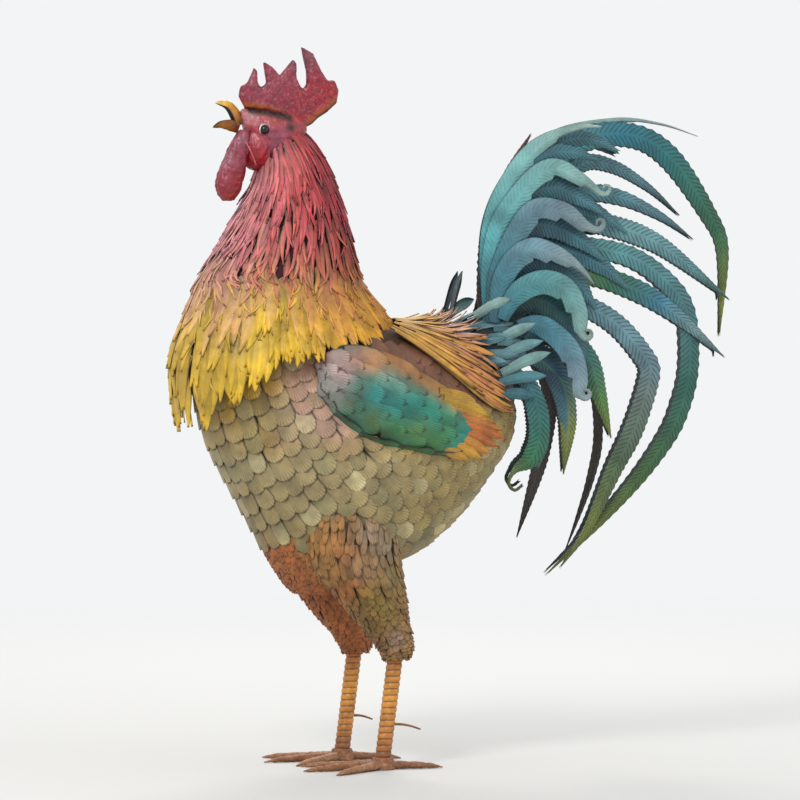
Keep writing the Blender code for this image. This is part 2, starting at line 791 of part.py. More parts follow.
def make_shank(name, side, stride):
    """A round leg wrapped with bands: a stepped outline turned about its axis."""
    top = Vector((SHANK_TOP[0] * GRID + stride, side, SHANK_TOP[1] * GRID))
    foot = Vector((SHANK_FOOT[0] * GRID + stride, side, SHANK_FOOT[1] * GRID))
    length = (top - foot).length
    pitch = length / WRAP_COUNT
    inner = SHANK_RADIUS - WRAP_DEPTH
    outline = [(0.0, length)]
    for k in range(WRAP_COUNT):
        high = length - k * pitch
        outline += [(inner, high), (SHANK_RADIUS, high - pitch * WRAP_LIP)]
    outline += [(inner, 0.0), (0.0, 0.0)]
    mesh = bpy.data.meshes.new(name)
    points = [(radius, 0, height) for radius, height in outline]
    mesh.from_pydata(points, [(i, i + 1) for i in range(len(points) - 1)], [])
    turned = bpy.data.objects.new(name, mesh)
    FIGURE.objects.link(turned)
    spin = turned.modifiers.new("turn", "SCREW")
    spin.steps = SHANK_SIDES
    spin.render_steps = SHANK_SIDES
    spin.use_merge_vertices = True
    spin.merge_threshold = 0.0001
    spin.use_normal_calculate = True
    bpy.context.view_layer.update()
    graph = bpy.context.evaluated_depsgraph_get()
    shape = bmesh.new()
    shape.from_mesh(bpy.data.meshes.new_from_object(turned.evaluated_get(graph)))
    bpy.data.objects.remove(turned)
    lean = Vector((0, 0, 1)).rotation_difference(top - foot).to_matrix().to_4x4()
    shape.transform(Matrix.Translation(foot) @ lean)
    return object_from(shape, name, "leg_ochre")


def toe(number, centre, angle, length):
    """A tapering toe, flat underneath, ending in a blunt claw."""
    turn = math.radians(180 + angle)
    along = Vector((math.cos(turn), math.sin(turn), 0))
    across = Vector((-along.y, along.x, 0))
    rings = []
    for share, width in TOE_SHAPE:
        base = centre + along * length * share
        half = TOE_WIDTH / 2 * width
        rise = Vector((0, 0, TOE_HEIGHT * width))
        rings.append(
            [
                base + across * half,
                base + across * half + rise * TOE_BEVEL,
                base + across * half * TOE_BEVEL + rise,
                base - across * half * TOE_BEVEL + rise,
                base - across * half + rise * TOE_BEVEL,
                base - across * half,
            ]
        )
    return solid_from_rings(f"toe_{number}", rings, "foot_rust", CUTTERS)


def make_foot(name, side, stride):
    centre = Vector((SHANK_FOOT[0] * GRID + stride, side, 0))
    shape = bmesh.new()
    bmesh.ops.create_cone(
        shape,
        cap_ends=True,
        segments=FOOT_HUB_SIDES,
        radius1=FOOT_HUB_RADIUS,
        radius2=FOOT_HUB_RADIUS * FOOT_HUB_TAPER,
        depth=FOOT_HUB_HEIGHT,
    )
    shape.transform(Matrix.Translation(centre + Vector((0, 0, FOOT_HUB_HEIGHT / 2))))
    foot = object_from(shape, name, "foot_rust")
    for number, angle in enumerate(FRONT_TOE_ANGLES):
        welded(foot, toe(number, centre, angle, FRONT_TOE_LENGTH))
    return welded(foot, toe(len(FRONT_TOE_ANGLES), centre, HIND_TOE_ANGLE, HIND_TOE_LENGTH))


def make_spur(name, side, stride):
    """A short bent wire behind the shank."""
    high = SPUR_ROOT_HEIGHT / (SHANK_TOP[1] - SHANK_FOOT[1])
    start = Vector((SHANK_TOP[0] * high * GRID + stride, side, SPUR_ROOT_HEIGHT * GRID))
    reach = Vector(SPUR_REACH) * GRID
    reach.y *= 1 if side < 0 else -1
    rise = Vector((0, 0, SPUR_RISE))
    points = [start, start + reach * 0.5 + rise, start + reach]
    return bent_wire(name, points, [SPUR_RADIUS * share for share in SPUR_TAPER], "leg_ochre")


def bent_wire(name, points, radii, material):
    """A round bar through a few points, its thickness given at each."""
    curve = bpy.data.curves.new(name, "CURVE")
    curve.dimensions = "3D"
    curve.bevel_depth = 1
    curve.bevel_resolution = 1
    curve.resolution_u = 3
    curve.use_fill_caps = True
    spline = curve.splines.new("BEZIER")
    spline.bezier_points.add(len(points) - 1)
    for knot, point, radius in zip(spline.bezier_points, points, radii):
        knot.co = point
        knot.radius = radius
        knot.handle_left_type = "AUTO"
        knot.handle_right_type = "AUTO"
    return mesh_of_curve(curve, name, material, Matrix())


def feather_width(share, root=0.45, swell=0.22, taper=0.62, tip=0.10):
    """Width along a feather: a narrow root, a long even blade and a drawn-out point."""
    if share < swell:
        return root + (1 - root) * math.sin(share / swell * math.pi / 2)
    if share < taper:
        return 1.0
    return 1.0 - (1.0 - tip) * ((share - taper) / (1 - taper)) ** 1.3


def feather(name, layer, width, midrib, side, material, trail, rings_at_least):
    """A cambered blade, thin at its edges, lying in its own layer of the fan, bowed out towards its tip."""
    length = sum(math.dist(a, b) for a, b in zip(midrib, midrib[1:]))
    count = max(rings_at_least, round(length / SQUARES_PER_RING))

    def corner(number, share):
        """One corner of the blade's section at a share of its length, in grid squares."""
        x, z = through(midrib, share)
        before = through(midrib, share - HEADING_STEP)
        after = through(midrib, share + HEADING_STEP)
        along = Vector((after[0] - before[0], after[1] - before[1])).normalized()
        away = math.dist((x, z), RUMP_CENTRE)
        half = width / 2 * feather_width(share)
        across = (-half, 0, half, 0)[number]
        lift = (0, BLADE_CAMBER, 0, BLADE_CAMBER - MIDRIB)[number] / GRID
        out = layer * (1 + FAN_SPREAD * (away / FAN_REACH) ** 2)
        lag = trail * out * min(1.0, away / FAR_TRAIL_REACH)
        return Vector((x + lag - along.y * across, side * (out + lift), z + along.x * across))

    roots = [share_outside_rump(corner, number) for number in range(4)]
    rings = [[corner(number, share) * GRID for number, share in enumerate(roots)]]
    first = max(roots)
    for step in range(1, count + 1):
        share = first + (1 - first) * step / count
        rings.append([corner(number, share) * GRID for number in range(4)])
    return solid_from_rings(name, rings, material)


def share_outside_rump(corner, number):
    """Where a corner of a feather comes out of the rump, just clear of it."""
    place = Vector((RUMP_CENTRE[0], 0, RUMP_CENTRE[1]))
    radii = [radius + ROOT_GAP / GRID for radius in RUMP_RADII]

    def outside(share):
        point = corner(number, share)
        return sum(((point[k] - place[k]) / radii[k]) ** 2 for k in range(3)) > 1

    share = 0.0
    while not outside(share):
        share += ROOT_STEP
    return share


def make_tail(saddles):
    for name, (layer, width, midrib) in TAIL_FEATHERS.items():
        place = LAYER_FIRST + LAYER_STEP * layer
        least = CURL_RINGS if name == "curl" else FEWEST_RINGS
        if name in SINGLE_FEATHERS:
            keep_clear(feather(name, place, width, midrib, -1, "tail_teal", 0, least), *saddles)
            continue
        for side, end, trail in ((-1, "_left", 0), (1, "_right", FAR_SIDE_TRAIL)):
            blade = feather(name + end, place, width, midrib, side, "tail_teal", trail, least)
            keep_clear(blade, *saddles)
    for name, (place, width, midrib) in FAR_FEATHERS.items():
        feather(name, place, width, midrib, 1, "tail_iron", 0, FEWEST_RINGS)


def stand_on_origin():
    """Hangs every piece on one empty, placed so that the middle of the underside is the origin."""
    corners = [vert.co for piece in FIGURE.objects for vert in piece.data.vertices]
    low = Vector([min(corner[k] for corner in corners) for k in range(3)])
    high = Vector([max(corner[k] for corner in corners) for k in range(3)])
    middle = (low + high) / 2
    stand = bpy.data.objects.new("stand", None)
    stand.location = (-middle.x, -middle.y, -low.z)
    for piece in (*FIGURE.objects, *CUTTERS.objects):
        piece.parent = stand
    FIGURE.objects.link(stand)


clear_scene()
FIGURE = collection("iron_rooster")
CUTTERS = collection("cutters", hidden=True)
BODY = make_body()
ENVELOPE = make_envelope()
WING = make_wing(ENVELOPE)
WING_TWIN = mirrored(WING, "wing_right")
RED, GOLD = make_hackles(ENVELOPE, BODY, (WING, WING_TWIN))
make_head(RED)
keep_clear(GOLD, RED)
SADDLE = make_saddle(GOLD, WING, BODY)
SADDLE_TWIN = mirrored(SADDLE, "saddle_right")
make_leg(ENVELOPE, -LEG_SPREAD / 2, "left", 0.0)
make_leg(ENVELOPE, LEG_SPREAD / 2, "right", -STRIDE)
make_tail((SADDLE, SADDLE_TWIN))
stand_on_origin()
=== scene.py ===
# %% [markdown]
# # A garden rooster of painted sheet iron
#
# The real figure is cut, bent and welded from thin sheet iron, then airbrushed: red on the
# head and neck, gold on the breast, teal on the wings and the tail. Hundreds of small cut
# feathers lie over a plain welded shell. We build it in that order. The solids of the
# measured model come in first and give every piece its place, and finer pieces stand for them.

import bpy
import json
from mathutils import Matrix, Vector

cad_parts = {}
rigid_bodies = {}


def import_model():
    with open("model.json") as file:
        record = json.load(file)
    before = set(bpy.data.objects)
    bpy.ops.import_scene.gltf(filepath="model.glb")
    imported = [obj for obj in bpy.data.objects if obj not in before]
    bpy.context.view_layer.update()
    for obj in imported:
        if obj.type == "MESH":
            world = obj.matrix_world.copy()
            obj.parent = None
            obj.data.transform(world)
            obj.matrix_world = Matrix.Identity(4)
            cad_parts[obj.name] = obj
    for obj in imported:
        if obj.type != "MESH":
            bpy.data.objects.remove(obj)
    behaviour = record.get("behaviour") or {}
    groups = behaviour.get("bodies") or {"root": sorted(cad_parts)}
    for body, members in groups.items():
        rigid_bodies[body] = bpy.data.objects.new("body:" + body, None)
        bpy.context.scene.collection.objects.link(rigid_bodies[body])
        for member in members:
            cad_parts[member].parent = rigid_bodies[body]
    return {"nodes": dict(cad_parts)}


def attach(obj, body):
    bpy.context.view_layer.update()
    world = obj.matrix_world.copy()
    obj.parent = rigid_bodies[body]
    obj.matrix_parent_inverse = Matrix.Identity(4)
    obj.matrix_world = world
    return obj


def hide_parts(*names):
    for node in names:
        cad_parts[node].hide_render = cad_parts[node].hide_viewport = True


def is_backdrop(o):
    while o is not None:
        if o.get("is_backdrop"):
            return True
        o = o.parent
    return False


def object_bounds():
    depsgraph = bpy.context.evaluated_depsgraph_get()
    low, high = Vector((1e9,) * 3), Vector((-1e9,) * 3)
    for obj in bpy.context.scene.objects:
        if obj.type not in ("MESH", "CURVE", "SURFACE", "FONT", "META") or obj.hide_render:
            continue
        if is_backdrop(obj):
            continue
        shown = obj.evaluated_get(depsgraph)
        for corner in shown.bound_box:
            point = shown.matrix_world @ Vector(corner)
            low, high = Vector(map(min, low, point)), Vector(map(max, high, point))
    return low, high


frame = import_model()
low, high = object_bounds()
sides_mm = [round((b - a) * 1000, 1) for a, b in zip(low, high)]
print("solids:", len(frame["nodes"]), "box in mm:", sides_mm)

# %% [markdown]
# ## Working sizes
#
# The model's pose was drawn on a grid of 1 mm squares, with its own zero near the legs. We
# keep that grid, so one number is one millimetre, and move to the shared frame at the end.

# %% Working sizes
import json
import math

import bmesh
import bpy
import numpy as np
from mathutils import Vector

SQUARE = 0.001
ZERO_X = -0.0803
DICE = np.random.default_rng(11)


def sited(points):
    """Grid squares to metres in the shared frame."""
    placed = np.array(points, float) * SQUARE
    placed[..., 0] += ZERO_X
    return placed


def unit(arrows):
    return arrows / np.maximum(np.linalg.norm(arrows, axis=-1, keepdims=True), 1e-9)


def through(table, share):
    """Rows of a smooth curve through the rows of a table, at shares from 0 to 1."""
    rows = np.asarray(table, float)
    last = len(rows) - 1
    place = np.clip(np.asarray(share, float), 0, 1) * last
    i = np.minimum(place.astype(int), last - 1)
    u = (place - i)[..., None]
    before, here, after, beyond = (rows[np.clip(i + k, 0, last)] for k in (-1, 0, 1, 2))
    return (
        (-0.5 * u + u * u - 0.5 * u**3) * before
        + (1 - 2.5 * u * u + 1.5 * u**3) * here
        + (0.5 * u + 2 * u * u - 1.5 * u**3) * after
        + (-0.5 * u * u + 0.5 * u**3) * beyond
    )


# %% [markdown]
# ## Colours
#
# Paint is named by its hex value as a screen shows it. Shading works in linear light, so one
# function turns each value once. Every feather carries its own two colours, for the root and
# the tip, as an airbrush leaves them, and most are also darker at the root as painted shade
# where the feather above overlaps them.

# %% Colours
def hue(code):
    """An sRGB hex value as linear red, green and blue."""
    parts = np.array([int(code[i : i + 2], 16) / 255 for i in (1, 3, 5)])
    return np.where(parts <= 0.04045, parts / 12.92, ((parts + 0.055) / 1.055) ** 2.4)


def mixed(first, second, share):
    """Colours between two others, at one share or at many."""
    share = np.asarray(share, float)[..., None]
    return np.asarray(first) * (1 - share) + np.asarray(second) * share


def ramp(stops, share):
    """Colours along a row of (share, hex) stops."""
    places = [stop[0] for stop in stops]
    hues = np.array([hue(stop[1]) for stop in stops])
    return np.stack([np.interp(share, places, hues[:, k]) for k in range(3)], -1)


def step_between(low_end, high_end, value):
    """0 below the low end, 1 above the high end, and smooth between."""
    share = np.clip((np.asarray(value, float) - low_end) / (high_end - low_end), 0, 1)
    return share * share * (3 - 2 * share)


IRON_DARK = "#2A211B"

# %% [markdown]
# ## Shader helper
#
# Every material below is built with one function that adds a node, gives its settings, and
# feeds its inputs with plain numbers or with the output of an earlier node.

# %% Shader helper
def put(tree, kind, feeds=None, out=0, **settings):
    made = tree.nodes.new("ShaderNode" + kind)
    for key, value in settings.items():
        setattr(made, key, value)
    for place, feed in (feeds or {}).items():
        if isinstance(feed, bpy.types.NodeSocket):
            tree.links.new(feed, made.inputs[place])
        else:
            made.inputs[place].default_value = feed
    return made.outputs[out]


def new_finish(name, roughness, metallic=0.0, coat=0.0):
    """A material with one shader whose plain numbers are set on its own sockets."""
    finish = bpy.data.materials.new(name)
    finish.use_nodes = True
    shader = finish.node_tree.nodes["Principled BSDF"]
    shader.inputs["Roughness"].default_value = roughness
    shader.inputs["Metallic"].default_value = metallic
    shader.inputs["Coat Weight"].default_value = coat
    shader.inputs["Coat Roughness"].default_value = 0.25
    return finish, finish.node_tree, shader


# %% [markdown]
# ## Airbrushed enamel on sheet iron
#
# The paint is thin and satin. It pools dark in the lines that are chased into each feather,
# wears off along the cut edge down to dark oxide, and varies in cloudy patches. The dark cut
# edge is also drawn broader than wear alone, as painted shade in the gaps where feathers overlap.
# Lines and edges follow each feather, so they read its own UV map: U runs across, V from root to tip.
# The clouds are about 20 mm wide and the grain of the primer about 1 mm.

# %% Airbrushed enamel
def enamel(
    name, fan=0.0, barbs=0.0, slant=0.0, depth=0.5, rim=0.80, tip=0.90, worn_and_shaded_edge=0.75, grain=900, clouds=55,
    satin=0.42, relief_mm=0.4,
):
    """Painted iron. fan is the number of chased lines in a radian, which spread from near the root.

    barbs is the number of chased lines in one unit of V, slanted on both sides of a rib. depth is how
    dark the lines are. rim and tip are the shares of half the width and of the length where the dark
    edge begins, and worn_and_shaded_edge is how dark it gets: worn down to oxide, and painted shade in
    the gaps between pieces.
    """
    finish, tree, shader = new_finish(name, satin)
    paint = put(tree, "Attribute", attribute_name="paint")
    spot_at = put(tree, "TexCoord", out="Object")
    uv = put(tree, "UVMap", uv_map="blade")
    split = tree.nodes.new("ShaderNodeSeparateXYZ")
    tree.links.new(uv, split.inputs[0])
    across, along = split.outputs[0], split.outputs[1]
    off_rib = put(tree, "Math", {0: across, 1: 0.5}, operation="SUBTRACT")
    off_rib = put(tree, "Math", {0: off_rib}, operation="ABSOLUTE")
    off_rib = put(tree, "Math", {0: off_rib, 1: 2.0}, operation="MULTIPLY")
    lines = None
    if fan:
        round_end = put(tree, "MapRange", {0: along, 1: 0.62, 2: 1.0, 3: 0.0, 4: 0.97})
        round_end = put(tree, "Math", {0: round_end, 1: 2.0}, operation="POWER")
        round_end = put(tree, "Math", {0: 1.0, 1: round_end}, operation="SUBTRACT")
        round_end = put(tree, "Math", {0: round_end}, operation="SQRT")
        aside = put(tree, "Math", {0: across, 1: 0.5}, operation="SUBTRACT")
        aside = put(tree, "Math", {0: aside, 1: round_end}, operation="MULTIPLY")
        ahead = put(tree, "Math", {0: along, 1: 0.12}, operation="SUBTRACT")
        spread = put(tree, "Math", {0: aside, 1: ahead}, operation="ARCTAN2")
        turns = put(tree, "Math", {0: spread, 1: fan * 2 * math.pi}, operation="MULTIPLY")
        wave = put(tree, "Math", {0: turns}, operation="COSINE")
        lines = put(tree, "MapRange", {0: wave, 1: 0.45, 2: 1.0, 3: 0.0, 4: 1.0})
        lower = put(tree, "MapRange", {0: along, 1: 0.45, 2: 0.80, 3: 0.0, 4: 1.0})
        lines = put(tree, "Math", {0: lines, 1: lower}, operation="MULTIPLY")
    if barbs:
        swept = put(tree, "Math", {0: off_rib, 1: slant, 2: 0.0}, operation="MULTIPLY_ADD")
        swept = put(tree, "Math", {0: along, 1: swept}, operation="SUBTRACT")
        turns = put(tree, "Math", {0: swept, 1: barbs * 2 * math.pi}, operation="MULTIPLY")
        wave = put(tree, "Math", {0: turns}, operation="SINE")
        lines = put(tree, "MapRange", {0: wave, 1: 0.1, 2: 0.95, 3: 0.0, 4: 1.0})
        beside = put(tree, "MapRange", {0: off_rib, 1: 0.06, 2: 0.2, 3: 0.0, 4: 1.0})
        lines = put(tree, "Math", {0: lines, 1: beside}, operation="MULTIPLY")
    cloud = put(tree, "TexNoise", {"Vector": spot_at, "Scale": clouds, "Detail": 4.0, "Roughness": 0.62})
    tone = put(tree, "MapRange", {0: cloud, 1: 0.3, 2: 0.72, 3: 0.50, 4: 1.02})
    colour = put(tree, "VectorMath", {0: paint, 1: tone}, operation="MULTIPLY")
    if lines is not None:
        dark = put(tree, "VectorMath", {0: colour, 1: (0.30, 0.30, 0.30)}, operation="MULTIPLY")
        share = put(tree, "Math", {0: lines, 1: depth}, operation="MULTIPLY")
        colour = put(tree, "Mix", {0: share, 6: colour, 7: dark}, out=2, data_type="RGBA")
    edge = put(tree, "MapRange", {0: off_rib, 1: rim, 2: 1.0, 3: 0.0, 4: 1.0})
    if tip:
        end = put(tree, "MapRange", {0: along, 1: tip, 2: 1.0, 3: 0.0, 4: 1.0})
        edge = put(tree, "Math", {0: edge, 1: end}, operation="MAXIMUM")
    edge = put(tree, "Math", {0: edge, 1: worn_and_shaded_edge}, operation="MULTIPLY")
    colour = put(tree, "Mix", {0: edge, 6: colour, 7: (*hue(IRON_DARK), 1)}, out=2, data_type="RGBA")
    tree.links.new(colour, shader.inputs["Base Color"])
    fine = put(tree, "TexNoise", {"Vector": spot_at, "Scale": grain, "Detail": 2.0})
    rough = put(tree, "MapRange", {0: fine, 1: 0.3, 2: 0.7, 3: satin - 0.08, 4: satin + 0.12})
    tree.links.new(rough, shader.inputs["Roughness"])
    relief = put(tree, "Math", {0: fine, 1: 0.25}, operation="MULTIPLY")
    if lines is not None:
        relief = put(tree, "Math", {0: lines, 1: -1.0, 2: relief}, operation="MULTIPLY_ADD")
    bump = put(tree, "Bump", {"Strength": 0.7, "Distance": relief_mm / 1000, "Height": relief})
    tree.links.new(bump, shader.inputs["Normal"])
    return finish


FINISHES = {
    # The broad dark rims of the scales and the hackle strips are worn edge and also painted shade in the gaps
    # where pieces overlap.
    "scale": enamel("enamel_chased_scales", fan=5.5, depth=0.42, rim=0.80, tip=0.90, worn_and_shaded_edge=0.95, satin=0.5),
    "hackle": enamel("enamel_hackle_strips", rim=0.55, tip=0.93, worn_and_shaded_edge=0.85, clouds=70, satin=0.5),
    "blade": enamel("enamel_broad_blades", rim=0.78, tip=0.95, worn_and_shaded_edge=0.8, clouds=60, satin=0.46),
    # A rough matt finish for the shells under the feathers, whose dark paint is painted shade seen in the
    # gaps.
    "gap_shade": enamel("enamel_matt_painted_shade", rim=2, tip=0, worn_and_shaded_edge=0, clouds=80, satin=0.85),
    "flight": enamel("enamel_flight_blades", barbs=9, slant=0.35, depth=0.25, rim=0.86, tip=0.98, worn_and_shaded_edge=0.6),
    "tail": enamel(
        "enamel_barbed_tail", barbs=1.0, slant=2.0, depth=0.75, rim=0.86, tip=0, worn_and_shaded_edge=0.4, clouds=45,
    ),
    "plain": enamel(
        "enamel_smooth_coverts", barbs=1.0, slant=2.4, depth=0.2, rim=0.90, tip=0, worn_and_shaded_edge=0.5, clouds=42,
    ),
    "wrap": enamel("enamel_wound_strip", rim=0.62, tip=0, worn_and_shaded_edge=0.8, clouds=160, grain=700, satin=0.45),
    "rust": enamel(
        "enamel_rusty_weld", rim=2, tip=0, worn_and_shaded_edge=0, grain=520, clouds=210, satin=0.6, relief_mm=1.1,
    ),
    "thigh": enamel(
        "enamel_thigh_feathers", fan=3, depth=0.5, rim=0.7, tip=0.85, worn_and_shaded_edge=0.6, clouds=90, satin=0.55,
    ),
}
print("finishes:", ", ".join(sorted(FINISHES)))

# %% [markdown]
# ## Blanks
#
# A metalworker stamps one blank and uses it hundreds of times. We do the same: each blank is a
# grid added at its real size, its rows are drawn in to the outline and its columns raised to a
# crown in edit mode, and a Solidify modifier gives it the thickness of the sheet.

# %% Blanks
SHEET = 0.7


def clear_selection():
    if bpy.context.mode != "OBJECT":
        bpy.ops.object.mode_set(mode="OBJECT")
    bpy.ops.object.select_all(action="DESELECT")


def pick(shape, wanted):
    """Selects only the points of an edit mesh that pass a test."""
    for vert in shape.verts:
        vert.select_set(bool(wanted(vert.co)))
    shape.select_flush_mode()


def near(value, target):
    return abs(value - target) < 2e-3


def blank(
    name, length, width, rows, columns, outline, crown=0.0, sweep=0.0, teeth=0.0, notch=None, crowd=1.0,
):
    """A cut feather along X. outline gives the share of the width at a share of the length."""
    clear_selection()
    bpy.ops.mesh.primitive_grid_add(x_subdivisions=rows, y_subdivisions=columns, size=1)
    made = bpy.context.object
    made.name = name
    made.data.uv_layers[0].name = "blade"
    bpy.ops.object.mode_set(mode="EDIT")
    bpy.ops.transform.resize(value=(length, width, 1))
    bpy.ops.transform.translate(value=(length / 2, 0, 0))
    shape = bmesh.from_edit_mesh(made.data)
    lanes = sorted({round(vert.co.y, 3) for vert in shape.verts})
    for lane in lanes:
        off_rib = abs(lane) / (width / 2)
        pick(shape, lambda co: near(co.y, lane))
        rise = crown * (1 - off_rib**2)
        bpy.ops.transform.translate(value=(0, 0, rise))
    stations = sorted({round(vert.co.x, 3) for vert in shape.verts})
    for number, station in reversed(list(enumerate(stations))):
        share = 1 - (1 - station / length) ** crowd
        pick(shape, lambda co: near(co.x, station))
        wide = outline(share) * (1 + teeth * (1 if number % 2 else -1))
        bpy.ops.transform.resize(value=(1, max(wide, 0.03), 1), center_override=(station, 0, 0))
        if notch:
            pick(shape, lambda co: near(co.x, station) and co.y < -1e-3)
            bpy.ops.transform.resize(value=(1, notch(share), 1), center_override=(station, 0, 0))
            pick(shape, lambda co: near(co.x, station))
        bpy.ops.transform.translate(value=(share * length - station, 0, 0))
    for lane in lanes if sweep else ():
        lean = sweep * (abs(lane) / (width / 2)) ** 1.3
        uv = shape.loops.layers.uv["blade"]
        for vert in shape.verts:
            level = vert.link_loops[0][uv].uv.y
            vert.select_set(near((level - 0.5) * width, lane))
        shape.select_flush_mode()
        bpy.ops.transform.translate(value=(lean, 0, 0))
    bpy.ops.object.mode_set(mode="OBJECT")
    front = len(made.data.vertices)
    wall = made.modifiers.new("sheet", "SOLIDIFY")
    wall.thickness = SHEET
    wall.offset = -1
    bpy.ops.object.modifier_apply(modifier="sheet")
    return blank_of(made, length, width, front)


def blank_of(made, length, width, front):
    """Reads a modelled blank as arrays, and clears the model away."""
    mesh = made.data
    points = np.empty(len(mesh.vertices) * 3)
    mesh.vertices.foreach_get("co", points)
    points = points.reshape(-1, 3)
    uv = np.empty(len(mesh.loops) * 2)
    mesh.uv_layers["blade"].data.foreach_get("uv", uv)
    corners = np.empty(len(mesh.loops), int)
    mesh.loops.foreach_get("vertex_index", corners)
    uv = np.stack([uv[1::2], points[corners, 0] / length], -1)
    faces = [tuple(face.vertices) for face in mesh.polygons]
    found = {
        "along": points[:, 0] / length,
        "across": points[:, 1] / (width / 2),
        "out": points[:, 2],
        "faces": faces,
        "uv": uv,
        "back": np.arange(len(points)) >= front,
    }
    print(f"blank {made.name}: {len(faces)} faces")
    bpy.data.objects.remove(made)
    return found


def tongue(share):
    """A long rounded tongue: parallel sides and a round end."""
    share = np.clip(share, 0, 1)
    if share > 0.62:
        return float(np.sqrt(np.clip(1 - ((share - 0.62) / 0.38) ** 2, 0, 1)))
    return float(0.72 + 0.28 * share / 0.62)


def lance(share):
    """A strip that widens a little and then tapers to a point."""
    if share < 0.45:
        return float(0.7 + 0.3 * math.sin(share / 0.45 * math.pi / 2))
    return float((1 - (share - 0.45) / 0.55) ** 0.75)


def broad(share):
    """A broad blade with a blunt pointed end."""
    if share < 0.6:
        return float(0.75 + 0.25 * share / 0.6)
    return float((1 - ((share - 0.6) / 0.4) ** 1.7) ** 0.8)


def even(share):
    return 1.0


SCALE = blank("scale", 26, 19, 6, 4, tongue, crown=1.6, crowd=1.7)
STRIP = blank("strip", 45, 3.4, 6, 2, lance, crown=0.8, crowd=1.2)
BLADE = blank("blade", 55, 10, 7, 4, broad, crown=1.6, crowd=1.6)
SPEAR = blank("spear", 55, 10, 7, 4, lance, crown=1.8, crowd=1.1)
FLIGHT = blank("flight", 75, 13, 9, 4, broad, crown=2.2, crowd=1.5)

# %% [markdown]
# ## Laying many copies
#
# A course is the line that one feather follows, with its sideways and outward directions at a
# few stations. The blank is bent along every course at once, and all copies are joined in one
# mesh, each with its own points, UV map and two colours.

# %% Laying many copies
# How bright the airbrushed feathers are at the root and at the tip: the dark root is painted shade under the
# feathers that overlap it.
ROOT_SHADE, TIP_SHADE = 0.5, 1.08


def lay(name, cut, course, half_width, tints, finish, under=None, pitch=None, arch=None):
    """Bends one blank along many courses.

    half_width is in mm, one number, one for each course or one for each station. tints holds
    each course's colours from root to tip, or is a function that airbrushes them by place, and
    those colours are then darkened towards the root as painted shade under the overlapping
    feathers. under is the colour of the back, and pitch the length in mm that one unit of V
    covers. arch scales the height of the crown by station.
    """
    points, across, out = course
    count, stations = points.shape[:2]
    along = np.clip(cut["along"], 0, 1)

    def at(rows, share=along):
        place = share * (rows.shape[1] - 1)
        i = np.minimum(place.astype(int), rows.shape[1] - 2)
        f = (place - i)[None, :, None]
        return rows[:, i] * (1 - f) + rows[:, i + 1] * f

    half = np.asarray(half_width, float)
    half = half if half.ndim == 2 else np.broadcast_to(half.reshape(-1, 1), (count, 2))
    placed = at(points) + unit(at(across)) * cut["across"][None, :, None] * at(half[..., None])
    rise = cut["out"][None, :, None] * (1 if arch is None else at(np.asarray(arch)[..., None]))
    placed = placed + unit(at(out)) * rise
    last_step = points[:, -1] - points[:, -2]
    over = (cut["along"] - along)[None, :, None] * np.linalg.norm(last_step, axis=-1)[:, None, None]
    placed = placed + over * (stations - 1) * unit(last_step)[:, None]
    if callable(tints):
        root_to_tip = (ROOT_SHADE + (TIP_SHADE - ROOT_SHADE) * along)[None, :, None]
        tint = tints(placed) * root_to_tip * (1 + DICE.normal(0, 0.09, (count, 1, 1)))
    else:
        tint = at(np.asarray(tints, float))
    if under is not None:
        tint = np.where(cut["back"][None, :, None], np.asarray(under), tint)
    size = len(cut["along"])
    faces = [tuple(v + copy * size for v in face) for copy in range(count) for face in cut["faces"]]
    uv = np.tile(cut["uv"][None], (count, 1, 1))
    if pitch:
        lengths = np.linalg.norm(np.diff(points, axis=1), axis=-1).sum(1)
        uv[..., 1] *= (lengths / pitch)[:, None]
    return joined(name, placed.reshape(-1, 3), faces, uv.reshape(-1, 2), tint.reshape(-1, 3), finish)


def two(root, tip):
    """One pair of colours for each course."""
    return np.stack([root, tip], 1)


def joined(name, points, faces, uv, tint, finish):
    mesh = bpy.data.meshes.new(name)
    mesh.from_pydata(sited(points).tolist(), [], faces)
    layer = mesh.uv_layers.new(name="blade")
    layer.data.foreach_set("uv", np.asarray(uv, np.float32).ravel())
    paint = mesh.color_attributes.new("paint", "FLOAT_COLOR", "POINT")
    full = np.ones((len(points), 4), np.float32)
    full[:, :3] = np.clip(tint, 0, 1)
    paint.data.foreach_set("color", full.ravel())
    mesh.materials.append(finish)
    made = bpy.data.objects.new(name, mesh)
    bpy.context.scene.collection.objects.link(made)
    turn_outwards(made)
    print(f"{name}: {len(mesh.polygons)} faces")
    return made


def turn_outwards(made):
    """Every shell of the mesh turned so that its faces point out, and shaded smooth over its curves."""
    shape = bmesh.new()
    shape.from_mesh(made.data)
    bmesh.ops.recalc_face_normals(shape, faces=shape.faces)
    shape.to_mesh(made.data)
    shape.free()
    made.data.shade_smooth()
    clear_selection()
    made.select_set(True)
    bpy.context.view_layer.objects.active = made
    bpy.ops.object.shade_smooth_by_angle(angle=math.radians(40))
    made.select_set(False)


def stand_for(made, slot, *nodes):
    """The piece rides on the figure and stands for the named solids, which are hidden. slot is not used."""
    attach(made, "root")
    if nodes:
        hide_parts(*nodes)
    return made


def framed(points, beside, lift, heart):
    """Courses from centre lines, a rough sideways direction and a point inside the figure."""
    ahead = unit(np.gradient(points, axis=1))
    out = unit(np.cross(ahead, beside))
    out = out * np.where(np.sum(out * (points - heart), -1, keepdims=True) < 0, -1, 1)
    across = unit(np.cross(out, ahead))
    return points + out * np.asarray(lift)[..., None], across, out


# %% [markdown]
# ## Skins
#
# A skin is a smooth surface sampled as a grid of points: rows go down it, columns go round it.
# It is where feathers are laid, and a welded shell is made from it under them, painted dark as
# the shade that shows in the gaps between feathers.

